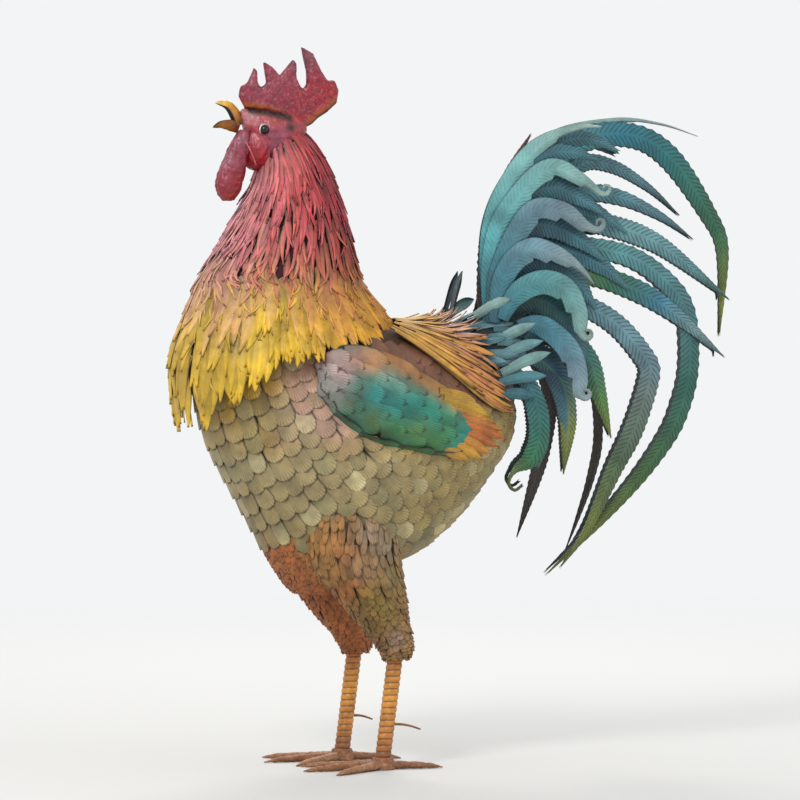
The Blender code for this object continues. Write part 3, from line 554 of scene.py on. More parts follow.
# %% Skins
def oval_skin(table, rows=60, columns=96, side=0.0):
    """A skin through tilted ovals (x, z, tilt, half length, half width). Column 0 is the rear."""
    x, z, tilt, length, width = through(table, np.linspace(0, 1, rows)).T[..., None]
    angle = np.linspace(0, 2 * math.pi, columns, endpoint=False)
    along = length * np.cos(angle)
    lean = np.radians(tilt)
    return np.stack([x + along * np.cos(lean), side + width * np.sin(angle), z + along * np.sin(lean)], -1)


def spot(skin, down, round_it):
    """Points of a skin at shares down it and turns round it."""
    rows, columns = skin.shape[:2]
    place = np.clip(down, 0, 1) * (rows - 1)
    i = np.minimum(place.astype(int), rows - 2)
    f = (place - i)[..., None]
    turn = (np.asarray(round_it) % 1.0) * columns
    j = turn.astype(int) % columns
    g = (turn - np.floor(turn))[..., None]
    k = (j + 1) % columns
    upper = skin[i, j] * (1 - g) + skin[i, k] * g
    lower = skin[i + 1, j] * (1 - g) + skin[i + 1, k] * g
    return upper * (1 - f) + lower * f


def girth(skin, tier, points):
    """The length in mm of the ring round a skin at a share down it."""
    ring = spot(skin, np.full(points, tier), np.linspace(0, 1, points, endpoint=False))
    return np.linalg.norm(np.diff(ring, axis=0, append=ring[:1]), axis=1).sum()


def on_skin(skin, down, round_it, lift, heart):
    beside = spot(skin, down, round_it + 0.004) - spot(skin, down, round_it - 0.004)
    return framed(spot(skin, down, round_it), beside, lift, heart)


def shells_from(name, dressed, finish, shrink=0.0):
    """Closed shells over skins, each skin with one colour or a colour for every point."""
    points, faces, uv, tints = [], [], [], []
    count = 0
    for skin, tint in dressed:
        rows, columns = skin.shape[:2]
        centre = skin.mean(axis=1, keepdims=True)
        taken = skin + unit(centre - skin) * shrink
        points += [taken.reshape(-1, 3), centre[0], centre[-1]]
        tint = np.broadcast_to(tint, skin.shape)
        tints += [tint.reshape(-1, 3), tint[0, :1], tint[-1, :1]]
        near_pole, far_pole = count + rows * columns, count + rows * columns + 1
        for j in range(columns):
            k = (j + 1) % columns
            faces.append((near_pole, count + k, count + j))
            faces.append((far_pole, count + (rows - 1) * columns + j, count + (rows - 1) * columns + k))
            for i in range(count, count + (rows - 1) * columns, columns):
                faces.append((i + j, i + k, i + columns + k, i + columns + j))
        uv.append(np.full((columns * (6 + 4 * (rows - 1)), 2), (0.5, 0.3)))
        count += rows * columns + 2
    return joined(name, np.concatenate(points), faces, np.concatenate(uv), np.concatenate(tints), finish)


def shell_from(name, skin, tint, finish, shrink=0.0):
    return shells_from(name, [(skin, tint)], finish, shrink)


def ball_skin(centre, radii, rows=30, columns=48):
    """Rows go from the front pole to the rear one; column 0 is the top."""
    polar = np.linspace(0.02, math.pi - 0.02, rows)[:, None]
    turn = np.linspace(0, 2 * math.pi, columns, endpoint=False)[None, :]
    flat = np.sin(polar)
    ball = np.stack([-np.cos(polar) + 0 * turn, -flat * np.sin(turn), flat * np.cos(turn)], -1)
    return centre + ball * radii


def tube_skin(path, radii, columns=24):
    """Rings square to a path. radii holds two for each point, upright and sideways for a level path."""
    path = np.asarray(path, float)
    ahead = unit(np.gradient(path, axis=0))
    first = unit(np.cross(ahead, (0.0, 1.0, 0.0)))
    second = np.cross(ahead, first)
    turn = np.linspace(0, 2 * math.pi, columns, endpoint=False)[None, :, None]
    ring = np.cos(turn) * (first * radii[:, :1])[:, None] + np.sin(turn) * (second * radii[:, 1:])[:, None]
    return path[:, None] + ring


# %% [markdown]
# ## Body
#
# The shell of the body is egg shaped: ovals of changing length and width, stacked from the
# shoulders to the thighs. Its scales don't lie in level rows. They sweep down the breast and
# then back along the belly, as if they were dealt round a point above the tail. So each row is
# where a half plane through that point meets the skin, and each scale points on round it.

# %% Body skin
BODY_RINGS = (
    (-62, 377, 0, 84, 50), (-47, 371, 0, 103, 58), (-28, 357, 0, 126, 66), (-15, 337, 0, 139, 73),
    (-9, 313, 0, 140, 77), (-6, 290, 0, 137, 79), (-6, 270, 0, 129, 79), (-8, 245, 0, 113, 76),
    (-11, 219, 0, 95, 71), (-18, 194, 0, 74, 62), (-27, 176, 0, 55, 53), (-27, 158, 0, 43, 43),
    (-28, 150, 0, 34, 34),
)
BODY_FINE = through(BODY_RINGS, np.linspace(0, 1, 300))[::-1]


def body_oval(z):
    """Middle, half length and half width of the body at heights."""
    return [np.interp(z, BODY_FINE[:, 1], BODY_FINE[:, k]) for k in (0, 3, 4)]


def onto_body(points):
    """Points carried level onto the skin of the body."""
    x, length, width = body_oval(points[..., 2])
    ahead, aside = points[..., 0] - x, points[..., 1]
    size = np.maximum(np.hypot(ahead / length, aside / width), 1e-6)
    return np.stack([x + ahead / size, aside / size, points[..., 2]], -1)


def body_outward(points):
    def fullness(at):
        x, length, width = body_oval(at[..., 2])
        return np.hypot((at[..., 0] - x) / length, at[..., 1] / width)

    slopes = []
    for k in range(3):
        nudge = np.zeros(3)
        nudge[k] = 1.5
        slopes.append(fullness(points + nudge) - fullness(points - nudge))
    return unit(np.stack(slopes, -1))


# %% Body scales
SWEEP_HUB = np.array([120, 420])
ROW_TURN = 3.15
SCALE_PITCH = 15.5


def scale_rows():
    """Roots of all scales, row by row round the hub."""
    roots = []
    reach = np.arange(30, 345, 1.0)
    for number, angle in enumerate(np.radians(np.arange(183, 275, ROW_TURN))):
        x = SWEEP_HUB[0] + reach * math.cos(angle)
        z = SWEEP_HUB[1] + reach * math.sin(angle)
        middle, length, width = body_oval(z)
        inside = (np.abs(x - middle) < length) & (z > 153) & (z < 374)
        if inside.sum() < 6:
            continue
        y = width[inside] * np.sqrt(1 - ((x - middle)[inside] / length[inside]) ** 2)
        near_side = np.stack([x[inside], -y, z[inside]], -1)
        loop = np.concatenate([near_side, (near_side * (1, -1, 1))[::-1]])
        steps = np.linalg.norm(np.diff(loop, axis=0), axis=1)
        run = np.concatenate([[0], np.cumsum(steps)])
        places = np.arange((number % 2) * SCALE_PITCH / 2, run[-1], SCALE_PITCH)
        roots.append(np.stack([np.interp(places, run, loop[:, k]) for k in range(3)], -1))
    return np.concatenate(roots)


def body_course(roots, length, stations=5, lift=(0.2, 2.6)):
    """Courses that start at the roots and sweep on round the hub over the skin."""
    spin = DICE.normal(0, 0.09, len(roots))
    place = onto_body(roots)
    line = [place]
    for _ in range(stations - 1):
        arm = place[:, [0, 2]] - SWEEP_HUB
        flow = np.stack([-arm[:, 1], np.zeros(len(arm)), arm[:, 0]], -1)
        out = body_outward(place)
        flow = unit(flow - np.sum(flow * out, -1, keepdims=True) * out)
        flow = unit(flow + np.cross(out, flow) * spin[:, None])
        place = onto_body(place + flow * (np.asarray(length) / (stations - 1))[..., None])
        line.append(place)
    points = np.stack(line, 1)
    out = body_outward(points)
    ahead = unit(np.gradient(points, axis=1))
    across = unit(np.cross(out, ahead))
    rise = np.linspace(lift[0], lift[1], stations)[None, :, None]
    return points + out * rise, across, out


# Scales stop under the neck, and tufts take their place in front over the thighs.
NECK_COVERS, THIGHS_COVER_X, THIGHS_COVER_Z = 366, -12, 202
roots = scale_rows()
over_thighs = (roots[:, 0] < THIGHS_COVER_X) & (roots[:, 2] < THIGHS_COVER_Z)
roots = roots[(roots[:, 2] < NECK_COVERS) & ~over_thighs]
print("scales on the body:", len(roots))
PATCH = DICE.random((len(roots), 1))
# Paint of the scales from the foot of the belly up to the neck.
HEIGHT_PAINT = (
    (0, "#9A8044"), (0.3, "#AC9866"), (0.55, "#B7A474"), (0.75, "#BC9A50"), (0.9, "#CDA036"), (1, "#CBA02C"),
)


def body_tint(at):
    """Gold under the neck, beige on the breast, khaki on the belly, pink by the wing, brown above it."""
    x, z = at[..., 0], at[..., 2]
    wobble = 6 * np.sin(x * 0.11 + z * 0.07) + 4 * np.sin(z * 0.19 - x * 0.05)
    high = (z + wobble - 160) / 180
    tint = ramp(HEIGHT_PAINT, high)
    tint = mixed(tint, hue("#AD9552"), step_between(-20, 60, x + wobble) * 0.75)
    by_wing = step_between(-112, -80, x) * (1 - step_between(-50, 10, x))
    tint = mixed(tint, hue("#D2A898"), by_wing * step_between(262, 300, z + wobble) * 0.8)
    tint = mixed(tint, hue("#C98A6C"), np.exp(-(((x + 72) / 15) ** 2) - ((z - 352) / 16) ** 2))
    tint = mixed(tint, hue("#DFD3A0"), (PATCH > 0.88) * 0.5 + 0 * x)
    tint = mixed(tint, hue("#9A966A"), (PATCH < 0.22) * 0.45 + 0 * x)
    return mixed(tint, hue("#8A5A40"), step_between(-55, -30, x) * step_between(296, 316, z))


SCALE_LENGTH = DICE.normal(25, 1.2, len(roots))
scales = lay(
    "body_scales", SCALE, body_course(roots, SCALE_LENGTH), DICE.normal(9.6, 0.5, len(roots)),
    body_tint, FINISHES["scale"],
)
stand_for(scales, "body_scales", "body")
# The body's shell is painted dark brown as the shade that shows in the gaps between scales.
body_shell = shell_from("body_shell", oval_skin(BODY_RINGS), hue("#4E3422"), FINISHES["gap_shade"], shrink=0.6)
stand_for(body_shell, "body_scales")

# %% [markdown]
# ## Neck
#
# The hackle is made of narrow strips that fall from the head. It goes from dark crimson behind
# through pink and salmon into gold, and at the bottom broad yellow blades show between the
# strips. The skin under them is the neck's tilted ovals, and then a bib whose edge hangs low
# in front and high behind.

# %% Neck skin
NECK_RINGS = (
    (-79, 540, 40, 15, 13), (-77, 531, 38, 21, 18), (-74, 521, 34, 27, 22), (-71, 508, 26, 32, 28),
    (-70, 492, 16, 38, 35), (-70, 471, 8, 46, 42), (-73, 446, 3, 56, 48), (-76, 424, 0, 65, 53),
    (-77, 412, 0, 71, 55),
)
BIB_TOP, BIB_AXIS = 411.5, -75
BIB_EDGE = ((0, 378), (36, 376), (72, 366), (108, 356), (144, 316), (180, 308))
BIB_REACH = (
    (412, 73, 55, 69), (399, 77, 58, 78), (384, 83, 64, 89), (370, 89, 70, 97), (355, 93, 76, 104),
    (340, 95, 80, 108), (325, 93, 82, 110), (308, 90, 82, 110), (292, 86, 82, 110),
)


def bib_skin(rows=40, columns=96):
    angle = np.linspace(0, 2 * math.pi, columns, endpoint=False)
    turned = np.abs(np.degrees(angle) - 180)
    edge = through(BIB_EDGE, 1 - turned / 180)[:, 1]
    share = np.linspace(0, 1, rows)[:, None]
    z = BIB_TOP + (edge[None, :] - BIB_TOP) * share
    fine = through(BIB_REACH, np.linspace(0, 1, 200))[::-1]
    front, aside, behind = (np.interp(z, fine[:, 0], fine[:, k]) for k in (1, 2, 3))
    flat, square = np.cos(angle)[None, :], np.sin(angle)[None, :]
    reach = 1 / np.hypot(flat / np.where(flat > 0, behind, front), square / aside)
    points = np.stack([BIB_AXIS + flat * reach, square * reach, z], -1)
    middle, length, width = body_oval(np.minimum(z, 377))
    inside = np.hypot((points[..., 0] - middle) / length, points[..., 1] / width)
    pushed = onto_body(points) + unit(points - np.stack([middle, 0 * z, z], -1)) * 5
    below = (z < 377) & (inside < 1.05)
    return np.where(below[..., None], pushed, points)


BIB = bib_skin()
NECK = np.concatenate([oval_skin(NECK_RINGS, 40)[:-1], BIB])
NECK_BASE = 39 / (len(NECK) - 1)
NECK_HEART = np.array([-72, 0, 400])
print("neck skin:", NECK.shape)


# %% Hackle strips
# A feather that has room for less than this share of its length is left out.
LEAST_ROOM = 0.62
SHARES = np.linspace(0, 1, len(NECK))
FALLS = np.linalg.norm(np.diff(NECK, axis=0), axis=-1)
RUN = np.concatenate([np.zeros((1, NECK.shape[1])), np.cumsum(FALLS, axis=0)])


def strip_places(first, last, tiers, spacing):
    """Rows of strips from share to share down the neck, spread evenly round it."""
    down, turns = [], []
    for tier in np.linspace(first, last, tiers):
        count = int(girth(NECK, tier, 200) / spacing)
        turns.append((np.arange(count) + DICE.random(count) * 0.7 + DICE.random()) / count)
        down.append(np.full(count, tier) + DICE.normal(0, 0.012, count))
    return np.concatenate(down), np.concatenate(turns) % 1.0


def fall_of(down, turn, length, hang):
    """The place a length in mm further down, at most hang mm below the edge, and the mm left."""
    ends, room = np.empty(len(down)), np.empty(len(down))
    last_shares = SHARES[-1] - SHARES[-9]
    for i, column in enumerate((turn * NECK.shape[1]).astype(int) % NECK.shape[1]):
        run = RUN[:, column]
        begun = np.interp(down[i], SHARES, run)
        room[i] = min(length[i], run[-1] + hang[i] - begun)
        past = max(0.0, begun + room[i] - run[-1])
        ends[i] = np.interp(begun + room[i], run, SHARES) + past * last_shares / (run[-1] - run[-9])
    return ends, room


def past_edge(down, turn):
    """Points of the neck skin, carried straight on below its edge."""
    over = np.maximum(down - 1, 0)[..., None]
    slope = (spot(NECK, 0 * down + 1, turn) - spot(NECK, 0 * down + 0.95, turn)) / 0.05
    return spot(NECK, down, turn) + slope * over


# Paint of the strips from the front round to the nape. The pale front is partly painted highlight, where the
# light falls on the front of the neck.
RED_PAINT = ((0, "#E9A0AC"), (0.2, "#EC8490"), (0.42, "#E4585E"), (0.62, "#BE2438"), (1, "#8E1228"))
SALMON_PAINT = ((0, "#F2BC9A"), (0.5, "#F0A868"), (1, "#D9802E"))
GOLD_PAINT = ((0, "#DDB440"), (0.35, "#E2B81A"), (0.6, "#DFA81A"), (1, "#CE841C"))


def hackle_tint(down, turn):
    """Pale rose in front, partly as painted highlight, coral at the side, crimson behind, then salmon and
    gold lower down.
    """
    behind = np.abs(turn - 0.5) * 2
    red = ramp(RED_PAINT, behind)
    red = red * (1 + DICE.normal(0, 0.2, (len(down), 1)))
    coral = mixed(red, hue("#F29A80"), (DICE.random(len(down)) > 0.6) * 0.5 * (1 - behind))
    salmon = ramp(SALMON_PAINT, behind)
    gold = ramp(GOLD_PAINT, behind)
    gold = gold * (1 + DICE.normal(0, 0.1, (len(down), 1)))
    edge = NECK_BASE - 0.02 + DICE.normal(0, 0.04, len(down))
    tint = mixed(coral, salmon, step_between(-0.12, 0.0, down - edge))
    return mixed(tint, gold, step_between(-0.02, 0.07, down - edge))


def neck_courses(down, turn, end, swing, lift, stations=7):
    s = np.linspace(0, 1, stations)[None, :]
    t = down[:, None] + (end - down)[:, None] * s
    off_front = turn - 0.5
    sweep = np.sign(off_front) * step_between(0.5, 0.9, np.abs(off_front) * 2) * step_between(0.3, 0.6, down)
    sway = DICE.normal(0, 1, (len(down), 1)) * swing + 0.03 * sweep[:, None]
    bow = DICE.normal(0, 1, (len(down), 1)) * swing * 0.8
    a = turn[:, None] + sway * s + bow * np.sin(s * math.pi)
    flick = np.abs(DICE.normal(0, 1, (len(down), 1))) * 0.8
    rise = lift[0] + (lift[1] - lift[0]) * s + flick * s**3
    heart = np.broadcast_to(NECK_HEART, (len(down), stations, 3)).copy()
    heart[..., 2] = spot(NECK, t, a)[..., 2]
    beside = past_edge(t, a + 0.004) - past_edge(t, a - 0.004)
    return framed(past_edge(t, a), beside, rise, heart)


def neck_feathers(name, cut, places, length, half_width, swing, lift, finish, hang=11):
    """Feathers at places down and round the neck. One that has no room to hang is left out.

    length and half_width are each a mean and a spread in mm, and hang is how far the lowest ones
    reach below the edge of the skin.
    """
    down, turn = places
    wanted = DICE.normal(*length, len(down))
    end, room = fall_of(down, turn, wanted, np.abs(DICE.normal(hang, 4, len(down))))
    free = room > LEAST_ROOM * wanted
    down, turn, end = down[free], turn[free], end[free]
    tint, tip_tint = hackle_tint(down, turn), hackle_tint(down + (end - down) * 0.6, turn)
    course = neck_courses(down, turn, end, swing, lift)
    half = DICE.normal(*half_width, len(down))
    # The dark root is painted shade under the strips that overlap it.
    colours = two(tint * 0.42, mixed(tip_tint, tint, 0.4) * 1.12)
    return lay(name, cut, course, half, colours, FINISHES[finish])


above = strip_places(0.02, NECK_BASE + 0.03, 17, 5.2)
below = strip_places(NECK_BASE + 0.05, NECK_BASE + 0.36, 5, 15)
places = tuple(np.concatenate(pair) for pair in zip(above, below))
strips = neck_feathers("hackle_strips", STRIP, places, (44, 7), (2.45, 0.35), 0.014, (1.0, 3.0), "hackle")
stand_for(strips, "hackle_red", "hackle_red")
low_down = SHARES[:, None] + 0 * NECK[..., 0]
gold_part = step_between(NECK_BASE - 0.02, NECK_BASE + 0.12, low_down)
# The neck core is painted as the shade in the gaps between strips: dark crimson under the red, dark
# gold-brown under the gold.
core_tint = mixed(hue("#4A161E"), hue("#6E4A14"), gold_part)
neck_core = shell_from("neck_core", NECK[:-4], core_tint[:-4], FINISHES["gap_shade"], shrink=1.0)
stand_for(neck_core, "hackle_gold", "hackle_gold")

# %% Gold blades
places = strip_places(NECK_BASE - 0.04, NECK_BASE + 0.36, 7, 10.5)
blades = neck_feathers("gold_blades", SPEAR, places, (60, 8), (6.8, 0.9), 0.008, (0.4, 3.0), "blade", hang=15)
stand_for(blades, "hackle_gold")

# %% [markdown]
# ## Head
#
# The head, the cheeks, the wattles and the comb are beaten from sheet and welded together.
# Hammer blows leave dents about 3 mm wide, and the airbrush lays pink, mauve and crimson over
# them in soft sprays. The beak is two short horns of sheet, open in front and dark inside.

# %% Hammered sheet
HAMMERED = enamel(
    "enamel_hammered_red", rim=2, tip=0, worn_and_shaded_edge=0, grain=420, clouds=200, satin=0.34, relief_mm=3.2,
)
HORN_FINISH = enamel("enamel_ochre_horn", rim=0.9, tip=0, worn_and_shaded_edge=0.3, grain=700, clouds=150, satin=0.33)
GLOSS = enamel("enamel_gloss_black_eye", rim=2, tip=0, worn_and_shaded_edge=0, grain=500, clouds=300, satin=0.12)


def hammered(points, blows, width, depth, heart):
    """Points pushed in by round blows at places spread over them."""
    flat = points.reshape(-1, 3)
    dent = np.zeros(len(flat))
    for place in flat[DICE.integers(0, len(flat), blows)]:
        dent = np.maximum(dent, np.exp(-((flat - place) ** 2).sum(1) / width**2))
    inward = unit(np.broadcast_to(heart, points.shape).reshape(-1, 3) - flat)
    return (flat + inward * (dent * depth)[:, None]).reshape(points.shape)


def sprayed(points, ground, sprays, speckle=0.05):
    """A ground colour with soft round sprays over it, each x, z, reach, colour and strength."""
    tint = np.broadcast_to(hue(ground), points.shape).copy()
    for x, z, reach, code, strength in sprays:
        gap = ((points[..., 0] - x) ** 2 + (points[..., 2] - z) ** 2) / reach**2
        tint = mixed(tint, hue(code), strength * np.exp(-gap))
    return tint * (1 + DICE.normal(0, 1, (*points.shape[:-1], 1)) * speckle)


# %% Head and cheeks
HEAD_RINGS = (
    (-112, 556, 5, 5), (-108, 553, 11, 10), (-99, 546, 19, 15), (-87, 541, 24, 19), (-73, 541, 23, 19),
    (-62, 543, 17, 15), (-55, 545, 8, 8),
)
# Soft sprays over the head: x, z, reach, colour and strength. The near-black ones in a row at z 553 to 560
# are painted shadow under the foot of the comb.
FACE_SPRAYS = (
    (-92, 560, 12, "#C8605A", 0.9), (-74, 558, 12, "#BE5450", 0.9), (-112, 552, 8, "#CF8A90", 0.95),
    (-104, 556, 6, "#D49A9A", 0.6), (-96, 543, 9, "#B4606C", 0.8), (-84, 532, 12, "#94485E", 1.0),
    (-78, 541, 6, "#94485E", 0.6), (-106, 532, 10, "#C2303A", 0.9), (-68, 532, 9, "#A3222F", 0.95),
    (-73, 545, 4, "#1E1214", 1.0), (-101, 560, 4, "#180A0A", 1.0), (-93, 559, 4, "#180A0A", 1.0),
    (-85, 557, 4, "#180A0A", 1.0), (-77, 555, 4, "#180A0A", 1.0), (-105, 560, 4, "#180A0A", 1.0),
    (-97, 559, 4, "#180A0A", 1.0), (-89, 558, 4, "#180A0A", 1.0), (-81, 556, 4, "#180A0A", 1.0),
    (-73, 553, 4, "#180A0A", 1.0),
)


def head_skin(rows=96, columns=110):
    """Rows go from the beak to the nape; column 0 is the crown."""
    x, z, height, width = through(HEAD_RINGS, np.linspace(0, 1, rows)).T[..., None]
    turn = np.linspace(0, 2 * math.pi, columns, endpoint=False)
    rise = np.where(np.cos(turn) > 0, 0.84, 1.0) * np.cos(turn)
    return np.stack([x + 0 * turn, -width * np.sin(turn), z + height * rise], -1)


skin = head_skin()
skin = hammered(skin, 700, 1.9, 1.1, skin.mean(axis=1, keepdims=True))
CHEEK_CENTRE, CHEEK_RADII = np.array([-98, 0, 527]), (15.5, 16.2, 19)
cheek = hammered(ball_skin(CHEEK_CENTRE, CHEEK_RADII, 60, 80), 320, 1.9, 1.1, CHEEK_CENTRE)
cheek_tint = sprayed(cheek, "#A3141F", (
    (-84, 532, 10, "#A8627C", 1.0), (-107, 540, 8, "#D8808A", 0.8), (-96, 545, 8, "#CF8A92", 0.7),
))
dressed = [(skin, sprayed(skin, "#A62E3A", FACE_SPRAYS)), (cheek, cheek_tint)]
stand_for(shells_from("hammered_head", dressed, HAMMERED), "comb_red", "head")
seams = []
for side in (-1, 1):
    share = np.linspace(0, 1, 30)
    x = -113 + 10 * share
    z = 536 - 23 * share
    y = side * (10.5 + 5.5 * np.sin(share * 2.4))
    bead = 0.75 * (1 + 0.2 * np.sin(share * 60))
    seams.append((tube_skin(np.stack([x, y, z], -1), np.stack([bead, bead], -1), 10), hue("#C4606C")))
stand_for(shells_from("cheek_seams", seams, HAMMERED), "comb_red")

# %% Wattles
WATTLE_RINGS = (
    (-111, 543, 5, 3), (-115, 530, 9, 5), (-120, 514, 11, 6), (-124, 500, 12, 6.5),
    (-125, 490, 10, 5.5), (-125, 483, 5, 3),
)
WATTLE_ASIDE, FAR_WATTLE_BACK = 9, 4
rows = [(x, z, 0, length, width) for x, z, length, width in WATTLE_RINGS]
for side, end in ((-WATTLE_ASIDE, "left"), (WATTLE_ASIDE, "right")):
    skin = oval_skin(rows, 80, 70, side)
    skin[..., 0] += FAR_WATTLE_BACK * (side > 0)
    tint = sprayed(skin, "#8E1E32", (
        (-127, 516, 8, "#AE6878", 0.8), (-116, 534, 8, "#A05C6E", 0.9), (-121, 500, 9, "#98141F", 0.95),
        (-125, 486, 8, "#96281C", 1.0), (-129, 500, 5, "#A05060", 0.5),
    ))
    skin = hammered(skin, 340, 1.8, 1.0, skin.mean(axis=1, keepdims=True))
    stand_for(shell_from("hammered_wattle_" + end, skin, tint, HAMMERED), "comb_red", "wattle_" + end)

# %% Comb
COMB_OUTLINE = (
    (-108, 561), (-114, 572), (-112, 580), (-106, 583), (-100, 596), (-97, 593), (-97, 584), (-94, 579),
    (-89, 583), (-92, 602), (-84, 597), (-77, 590), (-65, 604), (-62, 600), (-62, 588), (-57, 578),
    (-53, 583), (-53, 592), (-58, 615), (-47, 609), (-40, 595), (-34, 586), (-28, 587), (-24, 578),
    (-26, 567), (-35, 559), (-43, 554), (-48, 549), (-56, 545), (-70, 552), (-90, 558),
)
COMB_TIPS = ((-101, 597), (-92, 602), (-64, 604), (-58, 615))
COMB_THICK = 9
# The foot of the comb starts at this corner of its outline.
COMB_FOOT = 24


def gap_to(line, points):
    """The distance in the upright plane from points to a broken line."""
    best = np.full(len(points), 1e9)
    for a, b in zip(line[:-1], line[1:]):
        step = b - a
        share = np.clip(((points - a) @ step) / (step @ step), 0, 1)[:, None]
        best = np.minimum(best, np.linalg.norm(points - a - step * share, axis=1))
    return best


def read_model(made):
    """The points and faces of a modelled object, which is then cleared away."""
    points = np.array([vert.co for vert in made.data.vertices])
    faces = [tuple(face.vertices) for face in made.data.polygons]
    bpy.data.objects.remove(made)
    return points, faces


def plain_piece(name, points, faces, tint, finish):
    uv = np.full((sum(len(face) for face in faces), 2), (0.5, 0.3))
    return joined(name, points, faces, uv, tint, finish)


clear_selection()
shape = bpy.data.meshes.new("comb_sheet")
corners = [(x, COMB_THICK / 2, z) for x, z in COMB_OUTLINE]
shape.from_pydata(corners, [], [tuple(range(len(corners)))])
made = bpy.data.objects.new("comb_sheet", shape)
bpy.context.scene.collection.objects.link(made)
bpy.context.view_layer.objects.active = made
made.select_set(True)
bpy.ops.object.mode_set(mode="EDIT")
bpy.ops.mesh.select_all(action="SELECT")
bpy.ops.mesh.extrude_region_move(TRANSFORM_OT_translate={"value": (0, -COMB_THICK, 0)})
bpy.ops.mesh.select_all(action="SELECT")
bpy.ops.mesh.normals_make_consistent(inside=False)
bpy.ops.object.mode_set(mode="OBJECT")
grain = made.modifiers.new("even_grid", "REMESH")
grain.mode = "VOXEL"
grain.voxel_size = 1.15
bpy.ops.object.modifier_apply(modifier="even_grid")
soft = made.modifiers.new("soft_edges", "SMOOTH")
soft.factor, soft.iterations = 0.5, 4
bpy.ops.object.modifier_apply(modifier="soft_edges")
points, faces = read_model(made)
flat = points[:, [0, 2]]
ring = np.array([*COMB_OUTLINE, COMB_OUTLINE[0]], float)
border = np.array([*COMB_OUTLINE[COMB_FOOT:], COMB_OUTLINE[0]], float)
inside = np.clip(gap_to(ring, flat) / 5, 0.04, 1)
points[:, 1] *= 0.30 + 0.68 * np.sqrt(1 - (1 - inside) ** 2)
tint = sprayed(points, "#8E2236", (
    (-95, 575, 14, "#9A3C50", 0.8), (-76, 588, 16, "#9A4254", 0.8), (-56, 603, 12, "#7A4450", 0.9),
    (-100, 590, 6, "#96505C", 0.6), (-34, 574, 18, "#A00F22", 0.9), (-60, 570, 16, "#981C2C", 0.6),
))
glint = DICE.random(len(points)) > 0.86
tint = mixed(tint, hue("#E39AA0"), glint * 0.22)
low_edge = gap_to(border, flat)
tint = mixed(tint, hue("#A84A1C"), 1 - step_between(4.5, 8.0, low_edge))
# The thin dark line along the lower border is painted shadow in the gap between the comb and the head.
tint = mixed(tint, hue("#3A140E"), 1 - step_between(0.8, 2.6, low_edge))
for x, z in COMB_TIPS:
    from_tip = (flat[:, 0] - x) ** 2 + (flat[:, 1] - z) ** 2
    tint = mixed(tint, hue("#2B1618"), np.exp(-from_tip / 14) * 0.9)
struck = hammered(points, 900, 1.7, 1.1, points * (1, 0, 1))
stand_for(plain_piece("hammered_comb", struck, faces, tint, HAMMERED), "comb_red", "comb")

# %% Beak
HORN_CROWN = 5.5
HORN = blank("horn", 30, 11, 14, 8, even, crown=HORN_CROWN)
HORN_STOPS = (0, 0.3, 0.6, 0.85, 1)


def horn(name, rim, half, arch, tints, flip):
    """Half a beak: an arch of sheet whose two rims follow a path in the upright plane.

    half and arch are the half width and the height in mm at the stops along it.
    """
    line = through(rim, np.linspace(0, 1, 15))
    points = np.stack([line[:, 0], 0 * line[:, 0], line[:, 1]], -1)[None]
    ahead = unit(np.gradient(points, axis=1))
    out = np.stack([ahead[..., 2], 0 * ahead[..., 0], -ahead[..., 0]], -1) * flip
    across = np.broadcast_to((0.0, 1.0, 0.0), points.shape)
    shares = np.linspace(0, 1, 15)
    wide = np.interp(shares, HORN_STOPS, half)[None]
    rise = np.interp(shares, HORN_STOPS, arch)[None]
    return lay(
        name, HORN, (points, across, out), wide, ramp(tints, shares)[None], HORN_FINISH,
        under=hue("#0E0A0A"), arch=rise / HORN_CROWN,
    )


upper = horn(
    "beak_upper_horn", ((-116, 546), (-119, 553), (-121.5, 558), (-125, 562), (-130, 564), (-134.5, 565.5)),
    (5.2, 5.6, 4.8, 2.6, 0.5), (7.5, 8.2, 6.5, 3.6, 0.6),
    ((0, "#8F5418"), (0.3, "#C27A22"), (0.6, "#DDA02C"), (0.9, "#E6BE62"), (1, "#D8B878")), 1,
)
stand_for(upper, "beak_horn", "beak_upper")
lower = horn(
    "beak_lower_horn", ((-113, 549), (-119, 550.5), (-124, 551), (-129, 550), (-133, 548), (-136.8, 545)),
    (4.8, 5.2, 4.4, 2.4, 0.5), (9, 9, 7, 3.6, 0.5),
    ((0, "#6E3C10"), (0.4, "#9C5A12"), (0.75, "#A86A18"), (1, "#3E2C16")), -1,
)
stand_for(lower, "beak_horn", "beak_lower")

